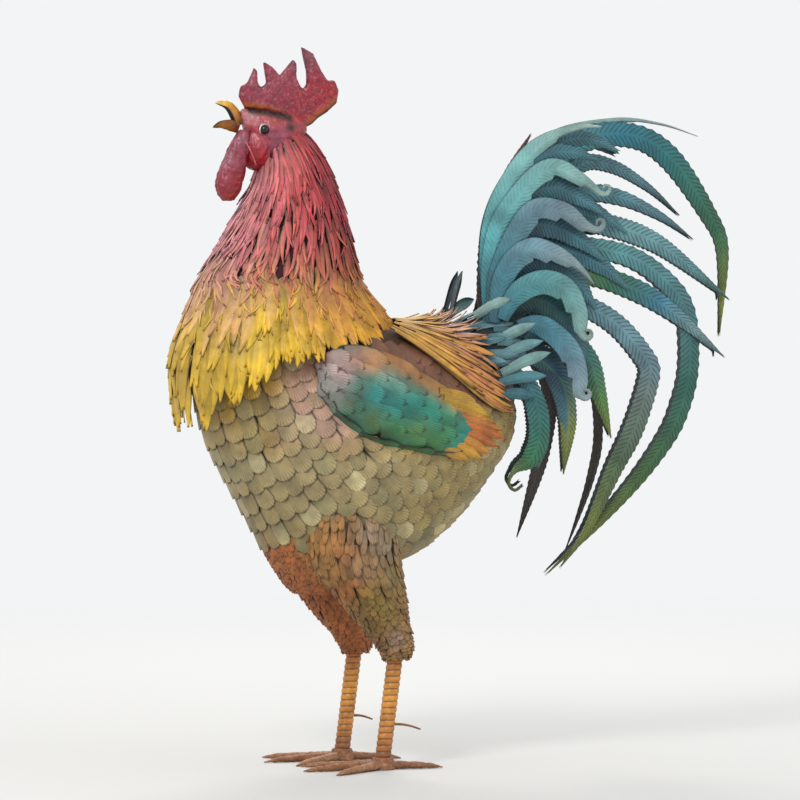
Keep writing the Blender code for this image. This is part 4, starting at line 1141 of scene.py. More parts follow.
# %% Eyes
EYE_X, EYE_Z, EYE_RADIUS = -96, 543, 4.15
LID_RING, LID_WIRE = 4.4, 0.6
EYE_Y = float(through(HEAD_RINGS, 0.375)[3])
for side, end in ((-1, "left"), (1, "right")):
    clear_selection()
    place = (EYE_X, side * EYE_Y, EYE_Z)
    bpy.ops.mesh.primitive_uv_sphere_add(segments=40, ring_count=24, radius=EYE_RADIUS, location=place)
    bpy.ops.object.transform_apply(location=True, rotation=True, scale=True)
    points, faces = read_model(bpy.context.object)
    black = np.broadcast_to(hue("#0B0A0A"), points.shape)
    ball = plain_piece("eye_dome_" + end, points, faces, black, GLOSS)
    stand_for(ball, "eye_black", "eye_" + end)
    bpy.ops.mesh.primitive_torus_add(
        major_segments=40, minor_segments=10, major_radius=LID_RING, minor_radius=LID_WIRE,
        location=(EYE_X, side * (EYE_Y - 0.4), EYE_Z),
        rotation=(math.radians(90), 0, math.radians(side * -14)),
    )
    bpy.ops.object.transform_apply(location=True, rotation=True, scale=True)
    points, faces = read_model(bpy.context.object)
    lit = step_between(-1, 5, (points[:, 2] - EYE_Z) - (points[:, 0] - EYE_X))
    tint = mixed(hue("#8A4A56"), hue("#F0E6E2"), lit)
    stand_for(plain_piece("eyelid_" + end, points, faces, tint, HAMMERED), "comb_red")

# %% [markdown]
# ## Wings
#
# A wing is a low welded shell covered in chased scales that sweep to the rear: grey and pink in
# front, orange along the top, teal in the middle and green below. Stiff flight feathers come out
# from under them at the back. We lay one wing and mirror its courses for the other.

# %% Wing skin
WING_RINGS = (
    (-67, 71, 333, 9, 3), (-60, 74, 334, 21, 6), (-44, 77, 329, 33, 9), (-20, 79, 320, 39, 9.4),
    (10, 79, 310, 36, 9.4), (38, 76, 299, 29, 9), (62, 70, 290, 21, 7), (74, 66, 286, 13, 5),
)


def wing_skin(rows=50, columns=64):
    """Columns start at the upper edge and go round by the outer face. It is the left wing."""
    x, side, z, height, thick = through(WING_RINGS, np.linspace(0, 1, rows)).T[..., None]
    turn = np.linspace(0, 2 * math.pi, columns, endpoint=False)
    return np.stack([x + 0 * turn, -(side + thick * np.sin(turn)), z + height * np.cos(turn)], -1)


def other_side(course):
    """The same courses mirrored to the right-hand side."""
    flip = np.array([1, -1, 1])
    return tuple(part * flip for part in course)


def both_sides(course):
    return tuple(np.concatenate([part, twin]) for part, twin in zip(course, other_side(course)))


WING = wing_skin()
WING_LENGTH = WING_RINGS[-1][0] - WING_RINGS[0][0]
WING_HEART = np.array([0.0, -66.0, 310.0])

# Soft sprays over the scales: x, z, reach, colour and strength.
WING_SPRAYS = (
    (-58, 321, 12, "#A3A29C", 1.0), (-52, 338, 11, "#CFA4A4", 1.0), (-40, 350, 12, "#D9A79A", 1.0),
    (-35, 323, 8, "#56705C", 1.0), (-44, 311, 9, "#566A50", 1.0), (-21, 318, 10, "#2A9490", 0.9),
    (-8, 311, 11, "#2F9A94", 0.9), (9, 309, 12, "#1B8A7C", 0.9), (29, 309, 11, "#158E78", 0.9),
    (46, 302, 10, "#2A8E68", 0.9), (-10, 334, 9, "#86AE9E", 0.9), (3, 326, 8, "#72A896", 0.8),
    (-25, 298, 11, "#5F7F4A", 1.0), (-18, 286, 11, "#4E7A46", 1.0), (-2, 288, 12, "#3F8248", 1.0),
    (16, 287, 12, "#5C8E4E", 1.0), (32, 279, 11, "#4A8C46", 1.0), (46, 287, 9, "#3E8E52", 0.8),
    (-25, 347, 10, "#E09C68", 1.0), (-20, 360, 12, "#D9A06A", 1.0), (-6, 352, 11, "#D68C46", 1.0),
    (6, 343, 9, "#CC8440", 1.0), (19, 335, 9, "#C8803A", 1.0), (32, 328, 9, "#C6803A", 1.0),
    (44, 321, 9, "#CC8A36", 1.0), (55, 314, 9, "#CF8A30", 1.0), (-69, 343, 13, "#BFA29C", 1.0),
    (-66, 328, 13, "#A8A49C", 1.0), (-61, 358, 13, "#C9A096", 1.0), (-60, 312, 10, "#8E9484", 1.0),
    (-47, 295, 10, "#46664A", 1.0), (-29, 281, 11, "#3E6A44", 1.0), (-8, 273, 11, "#3E7040", 1.0),
    (14, 270, 11, "#4A7E40", 1.0), (36, 268, 11, "#4A8040", 1.0),
)


def wing_tint(at):
    return sprayed(at, "#2A8C7C", WING_SPRAYS, 0)


def wing_courses(tier, turn, length, lift):
    s = np.linspace(0, 1, 5)[None, :]
    reach = length / WING_LENGTH
    t = tier[:, None] + reach[:, None] * s
    a = turn[:, None] * (1 - s) + (0.25 + (turn[:, None] - 0.25) * 0.9) * s
    heart = WING_HEART * np.ones((len(tier), 5, 1))
    heart[..., 0] = spot(WING, t, a)[..., 0]
    return on_skin(WING, t, a, lift[0] + (lift[1] - lift[0]) * s, heart)


tiers, turns = [], []
for number, tier in enumerate(np.linspace(-0.02, 0.74, 10)):
    high = through(WING_RINGS, max(tier, 0.0))[3]
    count = max(3, int(high * 2 / 12.0))
    heights = (np.arange(count) + 0.5 + (0.5 if number % 2 else 0)) / count
    heights = heights[heights < 1.02]
    turns.append(np.arccos(np.clip(1 - 2 * heights, -1, 1)) / (2 * math.pi))
    tiers.append(np.full(len(heights), tier - 0.05) + DICE.normal(0, 0.006, len(heights)))
tiers, turns = np.concatenate(tiers), np.concatenate(turns)
course = wing_courses(tiers, turns, 28.0 + DICE.normal(0, 2, len(tiers)), (0.4, 1.6))
half = np.tile(DICE.normal(8.4, 0.7, len(tiers)), 2)
wings = lay("wing_scales", SCALE, both_sides(course), half, wing_tint, FINISHES["scale"])
stand_for(wings, "wing_paint", "wing_left", "wing_right")
for side, end in ((1, "left"), (-1, "right")):
    # The wing core is painted dark as the shade seen in the gaps between its scales.
    core = shell_from("wing_core_" + end, WING * (1, side, 1), hue("#2A3428"), FINISHES["gap_shade"], shrink=0.8)
    stand_for(core, "wing_paint")

# %% Flight feathers
# Root x, z and tip x, z, side at the tip, then the paint of each feather.
FLIGHTS = (
    (36, 321, 76, 309, 70, "#C9962A"),
    (40, 316, 86, 300, 69, "#D0A22A"),
    (36, 311, 92, 294, 67, "#C88A2A"),
    (36, 306, 98, 288, 66, "#C87A30"),
    (34, 301, 103, 281, 64.5, "#C8702A"),
    (32, 297, 95, 274, 67, "#BE6A28"),
    (30, 292, 88, 268, 69.5, "#CF8A2C"),
    (26, 287, 79, 264, 72, "#C9932F"),
    (22, 284, 66, 262, 75, "#B98A34"),
)


def straight(starts, ends, out, stations=5, sag=0.0):
    """Courses along straight lines, with one outward direction."""
    s = np.linspace(0, 1, stations)[None, :, None]
    points = starts[:, None] * (1 - s) + ends[:, None] * s
    points = points + np.array([0, 0, -sag]) * np.sin(s * math.pi)
    ahead = unit(np.gradient(points, axis=1))
    facing = np.broadcast_to(np.asarray(out, float), points.shape)
    across = unit(np.cross(facing, ahead))
    return points, across, unit(np.cross(ahead, across))


table = np.array([row[:5] for row in FLIGHTS], float)
number = np.arange(len(FLIGHTS))
starts = np.stack([table[:, 0], -84.5 + number * 0.3, table[:, 1]], -1)
ends = np.stack([table[:, 2], -(table[:, 4] + 3.2), table[:, 3]], -1)
tint = np.array([hue(row[5]) for row in FLIGHTS])
course = straight(starts, ends, (0, -1, 0), sag=-1.5)
# Each flight feather is darker at the root as painted shade under the scales.
flights = lay(
    "flight_feathers", FLIGHT, both_sides(course), 6.2, np.tile(two(tint * 0.8, tint * 1.12), (2, 1, 1)),
    FINISHES["flight"], under=hue("#4A3A24"),
)
stand_for(flights, "wing_paint")

# %% [markdown]
# ## Saddle
#
# Narrow strips fan from behind the neck over the back. Those on the ridge are pale peach and
# their tips flick up; lower down they are broader and orange, and hang over the top of the wing.
# They need a skin of their own: rays from the heart of the body find the outermost welded
# surface, and the drape is the mean of a few rays.

# %% Saddle skin
RUMP_CENTRE, RUMP_RADII = np.array([106, 0, 354]), np.array([32, 51, 31])
SHELL_HEART = 325
SADDLE_HEART = np.array([40.0, 0.0, 300.0])
# Root x and turn, then tip x and turn, of the drape's edges from the ridge down to the wing.
SADDLE_ROWS = (
    (26, 0, 82, 3), (21, 18, 88, 34), (14, 34, 98, 70),
    (4, 46, 118, 118), (-6, 54, 92, 98), (-16, 61, 64, 87),
)


def in_shell(points):
    x, length, width = body_oval(points[..., 2])
    z = points[..., 2]
    body = ((points[..., 0] - x) / length) ** 2 + (points[..., 1] / width) ** 2 < 1
    rump = (((points - RUMP_CENTRE) / RUMP_RADII) ** 2).sum(-1) < 1
    return (body & (z > 150) & (z < 377)) | rump


def shell_reach(starts, arrows):
    """How far the outer skin is from points inside it."""
    close, far = np.zeros(starts.shape[:-1]), np.full(starts.shape[:-1], 260.0)
    for _ in range(20):
        middle = (close + far) / 2
        inside = in_shell(starts + arrows * middle[..., None])
        close, far = np.where(inside, middle, close), np.where(inside, far, middle)
    return close


def saddle_skin(rows=14, columns=40):
    fall = np.linspace(0, 1.04, rows)[:, None]
    root_x, root_turn, tip_x, tip_turn = through(SADDLE_ROWS, np.linspace(0, 1, columns)).T
    x = root_x + (tip_x - root_x) * fall
    turn = np.radians(root_turn + (tip_turn - root_turn) * fall)
    reaches = []
    for shift in (-16, 0, 16):
        for swing in (-0.16, 0, 0.16):
            lean = np.maximum(0, turn + swing)
            start = np.stack([x + shift, 0 * x, np.full_like(x, SHELL_HEART)], -1)
            reaches.append(shell_reach(start, np.stack([0 * lean, -np.sin(lean), np.cos(lean)], -1)))
    lift = np.maximum(reaches[4], np.mean(reaches, axis=0)) + 6.5 + 2.4 * fall
    return np.stack([x, -np.sin(turn) * lift, SHELL_HEART + np.cos(turn) * lift], -1)


SADDLE = saddle_skin()


def flat_spot(skin, down, over):
    """Points of an open skin at shares down and across it."""
    rows, columns = skin.shape[:2]
    i = np.clip(down, 0, 1) * (rows - 1)
    j = np.clip(over, 0, 1) * (columns - 1)
    i0, j0 = np.minimum(i.astype(int), rows - 2), np.minimum(j.astype(int), columns - 2)
    f, g = (i - i0)[..., None], (j - j0)[..., None]
    upper = skin[i0, j0] * (1 - g) + skin[i0, j0 + 1] * g
    lower = skin[i0 + 1, j0] * (1 - g) + skin[i0 + 1, j0 + 1] * g
    return upper * (1 - f) + lower * f


def saddle_courses(start, end, over, drift, lift, stations=7):
    s = np.linspace(0, 1, stations)[None, :]
    t = start[:, None] + (end - start)[:, None] * s
    a = over[:, None] + drift[:, None] * s
    points = flat_spot(SADDLE, t, a)
    beside = flat_spot(SADDLE, t, a + 0.02) - flat_spot(SADDLE, t, a - 0.02)
    return framed(points, beside, lift[0] + (lift[1] - lift[0]) * s**2, SADDLE_HEART)


# Paint of the strips from the ridge down to the wing.
RIDGE_PAINT = ((0, "#DDB29A"), (0.3, "#D99F80"), (0.5, "#D2864F"), (0.75, "#C98432"), (1, "#C78A3A"))


def saddle_tint(over, down):
    tint = mixed(ramp(RIDGE_PAINT, over), hue("#E2B43A"), step_between(0.35, 0.0, down) * 0.6)
    return tint * (1 + DICE.normal(0, 0.1, (len(over), 1)))


SADDLE_TIERS = ((0.0, 26), (0.16, 26), (0.33, 24), (0.5, 22))
SADDLE_EDGE = 0.64
start = np.concatenate([np.full(count, tier) for tier, count in SADDLE_TIERS])
start = start + DICE.normal(0, 0.03, len(start))
over = np.concatenate([(np.arange(count) + DICE.random(count) * 0.8) / count for _, count in SADDLE_TIERS])
free = over < SADDLE_EDGE
start, over = start[free], over[free]
end = np.clip(start + DICE.normal(0.55, 0.06, len(start)), 0, 1)
tint = saddle_tint(over, start)
flicked = 3.0 + 9.0 * (over < 0.34) * DICE.random(len(over))
course = saddle_courses(start, end, over, DICE.normal(0, 0.03, len(start)), (0.2, flicked[:, None]))
half = np.tile(1.7 + 1.5 * over + DICE.normal(0, 0.2, len(over)), 2)
# The strips are darker at the root as painted shade under the tier above.
strips = lay(
    "saddle_strips", STRIP, both_sides(course), half, np.tile(two(tint * 0.78, tint * 1.15), (2, 1, 1)),
    FINISHES["hackle"], under=hue("#3A2A1C"),
)
stand_for(strips, "saddle_peach", "saddle_left", "saddle_right")

# %% Saddle blades
over = np.array([0.30, 0.37, 0.44, 0.50, 0.56, 0.60])
course = saddle_courses(0 * over + 0.05, 0 * over + 1, over, 0 * over, (-1.4, 0.6), stations=12)
tint = ramp(((0, "#C98A5C"), (0.5, "#CC8E3C"), (0.62, "#D9A838")), over)
# The blades are darker at the root as painted shade under the strips.
blades = lay(
    "saddle_blades", BLADE, both_sides(course), 4.6, np.tile(two(tint * 0.7, tint * 1.2), (2, 1, 1)),
    FINISHES["blade"], under=hue("#33261A"),
)
stand_for(blades, "saddle_peach")

# %% Rump
RUMP = ball_skin(RUMP_CENTRE, RUMP_RADII)
# The rump core is painted near-black teal as the shade in the gaps between its leaves.
stand_for(shell_from("rump_core", RUMP, hue("#1C2E32"), FINISHES["gap_shade"], shrink=0.3), "body_scales")
tiers, turns = [], []
for number, tier in enumerate((0.22, 0.34, 0.46, 0.58, 0.70)):
    count = (10, 13, 14, 13, 10)[number]
    tiers.append(np.full(count, tier))
    turns.append((np.arange(count) + (number % 2) * 0.5) / count + DICE.normal(0, 0.008, count))
tiers, turns = np.concatenate(tiers), np.concatenate(turns)
s = np.linspace(0, 1, 5)[None, :]
heart = np.broadcast_to(RUMP_CENTRE, (len(tiers), 5, 3))
course = on_skin(RUMP, tiers[:, None] + 0.32 * s, turns[:, None] + 0 * s, 0.5 + 3.5 * s**1.5, heart)
tint = ramp(((0, "#4F8F98"), (0.5, "#7FA3A6"), (1, "#3F7F8F")), DICE.random(len(tiers)))
# The leaves are darker at the root as painted shade under the tier above.
leaves = lay(
    "rump_leaves", FLIGHT, course, 4.6, two(tint * 0.6, tint * 1.05), FINISHES["plain"],
    under=hue("#2A3330"), pitch=4.5,
)
stand_for(leaves, "tail_teal")

# %% Lances
# Pointed leaves stand out over the root of the tail: root x, side and z, the same for the tip, then
# the paint. The first is dark and narrow.
LANCES = (
    (76, 8, 388, 87, 5, 424, "#4A5A60"), (88, 34, 385, 117, 44, 400, "#8FB3AE"),
    (96, 42, 358, 136, 54, 379, "#86B4B2"), (100, 48, 348, 142, 56, 364, "#6FA0A4"),
    (106, 50, 336, 148, 58, 354, "#82AEAA"), (104, 50, 328, 146, 54, 334, "#4F8A94"),
    (104, 48, 318, 136, 52, 316, "#3F7A84"),
)
table = np.array([row[:6] for row in LANCES], float)
tint = np.array([hue(row[6]) for row in LANCES])
course = straight(table[:, [0, 1, 2]] * (1, -1, 1), table[:, [3, 4, 5]] * (1, -1, 1), (0, -1, 0), sag=-2)
half = np.tile([3.0] + [5.2] * (len(LANCES) - 1), 2)
# The lances are darker at the root as painted shade where they come out from under the leaves.
colours = np.tile(two(tint * 0.7, tint * 1.15), (2, 1, 1))
lances = lay("pale_lances", FLIGHT, both_sides(course), half, colours, FINISHES["flight"])
stand_for(lances, "tail_teal")

# %% [markdown]
# ## Tail
#
# Each tail feather is one long blade of sheet bent along a curve in its own upright layer of
# the fan. The long sickles have saw-cut edges and slanted barbs chased on both sides of the
# rib; the short coverts near the root are smoother and notched below, and some end in a scroll.
# Paint goes from blue and turquoise at the root to green and olive at the tips. The backs are
# dark. The right-hand feathers trail a little behind the left-hand ones, so they show past them.

# %% Tail feathers
LAYER_FIRST, LAYER_STEP = 3.2, 2.7
FAN_SPREAD, FAN_REACH = 0.6, 250
FAR_TRAIL, FAR_TRAIL_REACH, LAST_X = 0.73, 50, 338
BARB_PITCH, FILLING_PITCH = 4.6, 3.6
FAN_ROOT = RUMP_CENTRE[[0, 2]]
ROOT_REACH = np.array([30, 29])
# Coverts are the feathers from this layer on, and a longer blade than this has the long blank.
FIRST_COVERT, LONG_FROM = 10, 260

# Layer, width, paint, whether it ends in a scroll, then the midrib as x, z in mm.
TAIL = {
    "plume_top": (0, 8, "pale", 0, ((123, 373), (123, 486), (164, 538), (227, 555), (272, 553), (308, 543))),
    "sickle_crest": (1, 21, "crest", 0, (
        (117, 373), (140, 486), (195, 536), (243, 543), (280, 524), (317, 475), (331, 442), (328, 372),
    )),
    "sickle_upper": (2, 14, "blue", 0, (
        (125, 373), (157, 477), (194, 516), (224, 516), (258, 498), (286, 475),
    )),
    "sickle_second": (3, 15, "blue", 0, (
        (129, 373), (161, 460), (193, 490), (229, 489), (268, 473), (297, 454),
    )),
    "sickle_third": (4, 19, "grey", 0, (
        (123, 369), (155, 442), (188, 467), (216, 465), (267, 447), (330, 401),
    )),
    "sickle_great": (5, 18, "great", 0, (
        (122, 365), (154, 434), (186, 445), (238, 437), (275, 412), (291, 385), (293, 338), (284, 303),
        (272, 279), (245, 244), (207, 205), (161, 164),
    )),
    "sickle_fourth": (6, 19, "fourth", 0, (
        (121, 360), (153, 412), (192, 422), (237, 410), (274, 390), (322, 351),
    )),
    "sickle_inner": (7, 19, "inner", 0, (
        (125, 356), (157, 390), (191, 394), (224, 377), (250, 348), (254, 334), (245, 303), (235, 279),
        (220, 252), (195, 202), (170, 170),
    )),
    "sickle_lower": (8, 18, "green", 0, ((128, 356), (165, 373), (194, 351), (205, 320), (216, 281))),
    "sickle_lowest": (9, 16, "olive", 0, ((123, 347), (150, 347), (171, 326), (176, 295), (171, 250))),
    "covert_a": (10, 20, "light", 0, (
        (103, 382), (104, 459), (124, 506), (150, 534), (181, 547), (200, 548),
    )),
    "covert_b": (11, 20, "light", 1, (
        (100, 373), (106, 450), (128, 489), (154, 511), (182, 502), (203, 488),
    )),
    "covert_c": (12, 20, "dusk", 1, ((101, 369), (110, 425), (136, 472), (163, 475), (187, 461), (198, 458))),
    "covert_d": (13, 20, "dusk", 0, ((102, 365), (113, 420), (136, 442), (163, 435), (182, 425), (194, 413))),
    "covert_e": (14, 21, "light", 1, (
        (103, 360), (119, 399), (144, 414), (167, 408), (178, 389), (181, 368),
    )),
    "covert_f": (15, 20, "dusk", 1, ((104, 356), (121, 375), (144, 377), (167, 360), (177, 339), (178, 317))),
    "curl": (16, 20, "curl", 0, (
        (99, 348), (118, 343), (132, 326), (140, 305), (141, 281), (133, 263), (119, 254), (112, 243),
        (117, 236), (124, 240),
    )),
}
PAINTS = {
    "pale": ((0, "#3F8088"), (0.5, "#7FB0AC"), (1, "#9AA7A0")),
    "crest": (
        (0, "#2E6C7A"), (0.35, "#5FA9A8"), (0.5, "#1F7C92"), (0.68, "#1B6E62"), (0.82, "#2C6A42"),
        (0.93, "#7E8A2A"), (1, "#6E7420"),
    ),
    "blue": ((0, "#2B6476"), (0.4, "#3F8FA0"), (0.75, "#5B8F9A"), (1, "#4F6F78")),
    "grey": ((0, "#2B6476"), (0.35, "#3E8FA3"), (0.6, "#6FA3A8"), (0.85, "#5C8F94"), (1, "#3F6A62")),
    "great": (
        (0, "#2B6476"), (0.25, "#5FA5A8"), (0.42, "#4F8A92"), (0.58, "#1F6A5C"), (0.75, "#3E6F3C"),
        (0.9, "#6E7A2A"), (1, "#5C6320"),
    ),
    "fourth": (
        (0, "#2E6470"), (0.3, "#5E7A3A"), (0.5, "#2F7A5A"), (0.7, "#3F86A0"), (0.85, "#7CA3A5"),
        (1, "#5E7F80"),
    ),
    "inner": (
        (0, "#2E6470"), (0.2, "#5F93A0"), (0.45, "#6E929C"), (0.52, "#6B7F7A"), (0.7, "#4E6A4A"),
        (0.88, "#6E7A2E"), (1, "#5C6320"),
    ),
    "green": ((0, "#2E6470"), (0.5, "#2F7F78"), (0.75, "#4F8040"), (1, "#7A8A34")),
    "olive": ((0, "#2E6470"), (0.45, "#4F7A6A"), (0.7, "#7C8A3C"), (1, "#6E7A34")),
    "light": ((0, "#2F7484"), (0.3, "#57A9B0"), (0.65, "#7DB9B6"), (1, "#A3B8AE")),
    "dusk": ((0, "#2C5F70"), (0.3, "#4B93A4"), (0.65, "#7796A4"), (1, "#98A9A6")),
    "curl": ((0, "#2F6F80"), (0.35, "#24786E"), (0.6, "#2A7A52"), (0.8, "#5F7A34"), (1, "#5A5F28")),
}
SMOOTH = ("light", "dusk", "pale")
# Shares of the length, and the share of the full width that a feather has there.
CURL_WIDTHS = (0, 0.1, 0.3, 0.6, 0.72, 0.8, 1), (0.6, 0.85, 1, 0.9, 0.45, 0.17, 0.13)
COVERT_WIDTHS = (0, 0.2, 0.5, 0.72, 0.88, 1), (0.5, 0.95, 1.05, 0.95, 0.4, 0.12)
FILLING_WIDTHS = (0, 0.2, 0.5, 0.8, 1), (0.5, 0.95, 1, 0.75, 0.15)


def stepped(share):
    """The notched lower edge of a covert: its width drops in steps towards the scroll."""
    for start, full in ((0.80, 0.30), (0.66, 0.46), (0.52, 0.70)):
        if share > start:
            return full + 1.6 * (share - start)
    return 1.0


LONG = blank("long_sickle", 380, 16, 110, 6, even, crown=1.5, sweep=4, teeth=0.06)
SICKLE = blank("sickle", 210, 15, 64, 6, even, crown=1.4, sweep=3, teeth=0.06)
COVERT = blank("covert", 200, 15, 50, 6, even, crown=1.8, notch=stepped)


def blade_width(share):
    """Width along a feather: a narrow root, a long even blade and a drawn-out point."""
    rise = 0.45 + 0.55 * np.sin(np.clip(share / 0.22, 0, 1) * math.pi / 2)
    fall = 1.0 - 0.93 * np.clip((share - 0.62) / 0.38, 0, 1) ** 1.3
    return np.minimum(rise, fall)


def scrolled(line):
    """A centre line carried on into a small scroll that turns upwards."""
    ahead = line[-1] - line[-2]
    heading = math.atan2(ahead[1], ahead[0])
    place, added = line[-1], []
    for k in range(16):
        heading += math.radians(9 + k * 1.3)
        place = place + np.array([math.cos(heading), math.sin(heading)]) * 1.7
        added.append(place)
    return np.concatenate([line, added])


def spread_out(x, z):
    """How much further out a layer lies at a place than at the root of the fan."""
    return 1 + FAN_SPREAD * (np.hypot(x - FAN_ROOT[0], z - FAN_ROOT[1]) / FAN_REACH) ** 2


def tail_course(layer, midrib, scroll, side, stations=60):
    """The course of one feather, the shares along it and its length. It starts at the rump's skin."""
    line = through(midrib, np.linspace(0, 1, 80))
    inside = (((line - FAN_ROOT) / ROOT_REACH) ** 2).sum(1) < 1
    line = line[max(0, int(inside.sum()) - 1) :]
    if scroll:
        line = scrolled(line[:-4])
    run = np.concatenate([[0], np.cumsum(np.linalg.norm(np.diff(line, axis=0), axis=1))])
    places = np.linspace(0, run[-1], stations)
    x, z = (np.interp(places, run, line[:, k]) for k in (0, 1))
    away = np.hypot(x - FAN_ROOT[0], z - FAN_ROOT[1])
    out = (LAYER_FIRST + LAYER_STEP * layer) * spread_out(x, z)
    lag = (FAR_TRAIL if side > 0 and layer else 0) * out * np.minimum(1, away / FAR_TRAIL_REACH)
    lag = np.minimum(lag, np.maximum(LAST_X - x, 0))
    points = np.stack([x + lag, side * out, z], -1)[None]
    ahead = unit(np.gradient(points, axis=1))
    facing = np.zeros_like(points)
    facing[..., 1] = side
    across = unit(np.stack([-ahead[..., 2], 0 * ahead[..., 0], ahead[..., 0]], -1))
    return (points, across, facing), places / run[-1], run[-1]


for name, (layer, width, paint, scroll, midrib) in TAIL.items():
    sides = ((-1, "_left"), (1, "_right")) if layer else ((-1, ""),)
    for side, end in sides:
        course, share, length = tail_course(layer, midrib, scroll, side)
        smooth = paint in SMOOTH
        cut = COVERT if smooth else LONG if length > LONG_FROM else SICKLE
        if name == "curl":
            half = width / 2 * np.interp(share, *CURL_WIDTHS)
        elif layer >= FIRST_COVERT:
            half = width / 2 * np.interp(share, *COVERT_WIDTHS)
        else:
            half = width / 2 * blade_width(share)
        tint = ramp(PAINTS[paint], share)[None] * (0.86 + DICE.normal(0, 0.06))
        made = lay(
            name + end + "_blade", cut, course, half[None], tint, FINISHES["plain" if smooth else "tail"],
            under=hue("#2C4248"), pitch=BARB_PITCH,
        )
        stand_for(made, "tail_teal", name + end)

# %% Filling of the fan
# Barbed blades fill the heart of the fan between the coverts: layer, width, then the midrib. The
# last is the dark brown strip that shows at the front edge.
FILLING = (
    (9.6, 23, ((102, 377), (106, 455), (126, 498), (152, 523), (178, 526), (198, 520))),
    (9.1, 24, ((102, 373), (108, 440), (132, 482), (158, 496), (184, 487), (205, 474))),
    (8.6, 24, ((102, 367), (112, 425), (137, 460), (163, 462), (188, 450), (208, 434))),
    (9.3, 24, ((103, 363), (116, 412), (140, 432), (165, 428), (186, 412), (200, 392))),
    (8.8, 24, ((104, 358), (122, 390), (146, 400), (168, 390), (184, 370), (192, 346))),
    (9.0, 22, ((106, 352), (128, 360), (150, 352), (166, 334), (174, 308), (174, 280))),
    (9.8, 18, ((104, 345), (122, 338), (138, 322), (148, 300), (150, 276), (146, 255))),
    (7.6, 22, ((104, 380), (112, 450), (140, 508), (170, 535), (196, 538), (220, 528))),
    (7.2, 22, ((104, 372), (116, 432), (146, 478), (176, 484), (206, 474), (230, 458))),
    (7.0, 22, ((106, 362), (124, 408), (152, 438), (182, 440), (210, 428), (232, 410))),
    (3.0, 11, ((102, 380), (104, 420), (110, 452), (121, 494), (133, 520), (146, 541))),
)
DEEP_BLUES = ("#1E5A70", "#1F5E5E", "#2A566C")
for side, end in ((-1, "left"), (1, "right")):
    courses, widths, tints = [], [], []
    for number, (layer, width, midrib) in enumerate(FILLING):
        course, share, _ = tail_course(layer, midrib, 0, side)
        courses.append(course)
        widths.append(width / 2 * np.interp(share, *FILLING_WIDTHS))
        # The filling is near-black at the root as painted shade in the heart of the fan.
        deep = ((0, "#12303A"), (0.4, DEEP_BLUES[number % 3]), (0.8, "#38707E"), (1, "#4A8088"))
        tints.append(ramp(deep, share))
    tints[-1] = np.broadcast_to(hue("#4A2C22"), tints[0].shape)
    course = tuple(np.concatenate([course[k] for course in courses]) for k in range(3))
    filling = lay(
        "fan_filling_" + end, SICKLE, course, np.array(widths), np.array(tints), FINISHES["tail"],
        under=hue("#2E4A50"), pitch=FILLING_PITCH,
    )
    stand_for(filling, "tail_teal")

# %% Unpainted blades
# Side, width, then the midrib.
IRON_BLADES = {
    "iron_sickle": (0, 9, (
        (152, 364), (194, 356), (212, 320), (216, 279), (209, 244), (197, 210), (186, 183),
    )),
    "iron_quill": (3.2, 14, ((118, 352), (150, 352), (171, 322), (166, 270), (142, 195))),
}
for name, (side, width, midrib) in IRON_BLADES.items():
    course, share, _ = tail_course(0, midrib, 0, 1)
    line = course[0]
    line[..., 1] = side * spread_out(line[..., 0], line[..., 2])
    half = width / 2 * blade_width(share)
    tint = np.broadcast_to(hue("#3A322B"), (1, 2, 3))
    blade = lay(name + "_blade", SICKLE, course, half[None], tint, FINISHES["tail"], pitch=BARB_PITCH)
    stand_for(blade, "tail_iron", name)

# %% [markdown]
# ## Thighs and legs
#
# The thighs and the front of the belly are covered in small rough tufts: gold, beige and olive on
# the left, and rust in the middle and on the right. Below them each leg is a rod with a strip of
# iron wound round it like a spring, and a foot of forged toes.

# %% Thighs
THIGH_RINGS = (
    (-29, 230, 0, 32, 18), (-27, 212, 0, 40, 25), (-25, 178, 0, 38, 26), (-10, 147, 0, 28, 23),
    (-2, 130, 0, 22, 19), (7, 114, 0, 16, 15), (12, 102, 0, 13, 12), (12, 94, 0, 9, 9),
)
LEGS = ((-45, "left", 0), (45, "right", -5))
TUFT = blank("tuft", 14, 9, 4, 2, tongue, crown=0.9, crowd=1.6)
THIGH_SPRAYS = (
    (-55, 197, 14, "#C88A44", 1.0), (-41, 184, 12, "#C07C40", 0.9), (-21, 201, 14, "#B99C80", 1.0),
    (-6, 189, 14, "#A88F70", 1.0), (1, 166, 12, "#8E7C48", 0.9), (-28, 169, 13, "#B48C66", 0.9),
    (-37, 153, 12, "#B0662C", 0.9), (-17, 146, 13, "#8E7428", 1.0), (-3, 135, 12, "#96803A", 0.9),
    (-12, 120, 11, "#8A6A2C", 0.9), (6, 111, 9, "#B09078", 1.0), (-6, 105, 8, "#8A5E2C", 0.9),
)


def thigh_tint(at):
    """Gold, beige and olive on the left thigh, and plain orange rust inside and on the right."""
    rust = sprayed(at, "#BC6C2E", ((-40, 150, 20, "#B0602A", 0.6),), 0)
    left = step_between(-30, -50, at[..., 1])
    return mixed(rust, sprayed(at, "#A87A3C", THIGH_SPRAYS, 0), left)


def tuft_places(skin, tiers, spacing):
    """Shares down and round a skin for tiers of tufts, every second tier half a step on."""
    down, turns = [], []
    for number, tier in enumerate(tiers):
        count = int(girth(skin, tier, 60) / spacing)
        turns.append((np.arange(count) + 0.5 * (number % 2) + DICE.normal(0, 0.12, count)) / count)
        down.append(np.full(count, tier) + DICE.normal(0, 0.006, count))
    return np.concatenate(down), np.concatenate(turns)


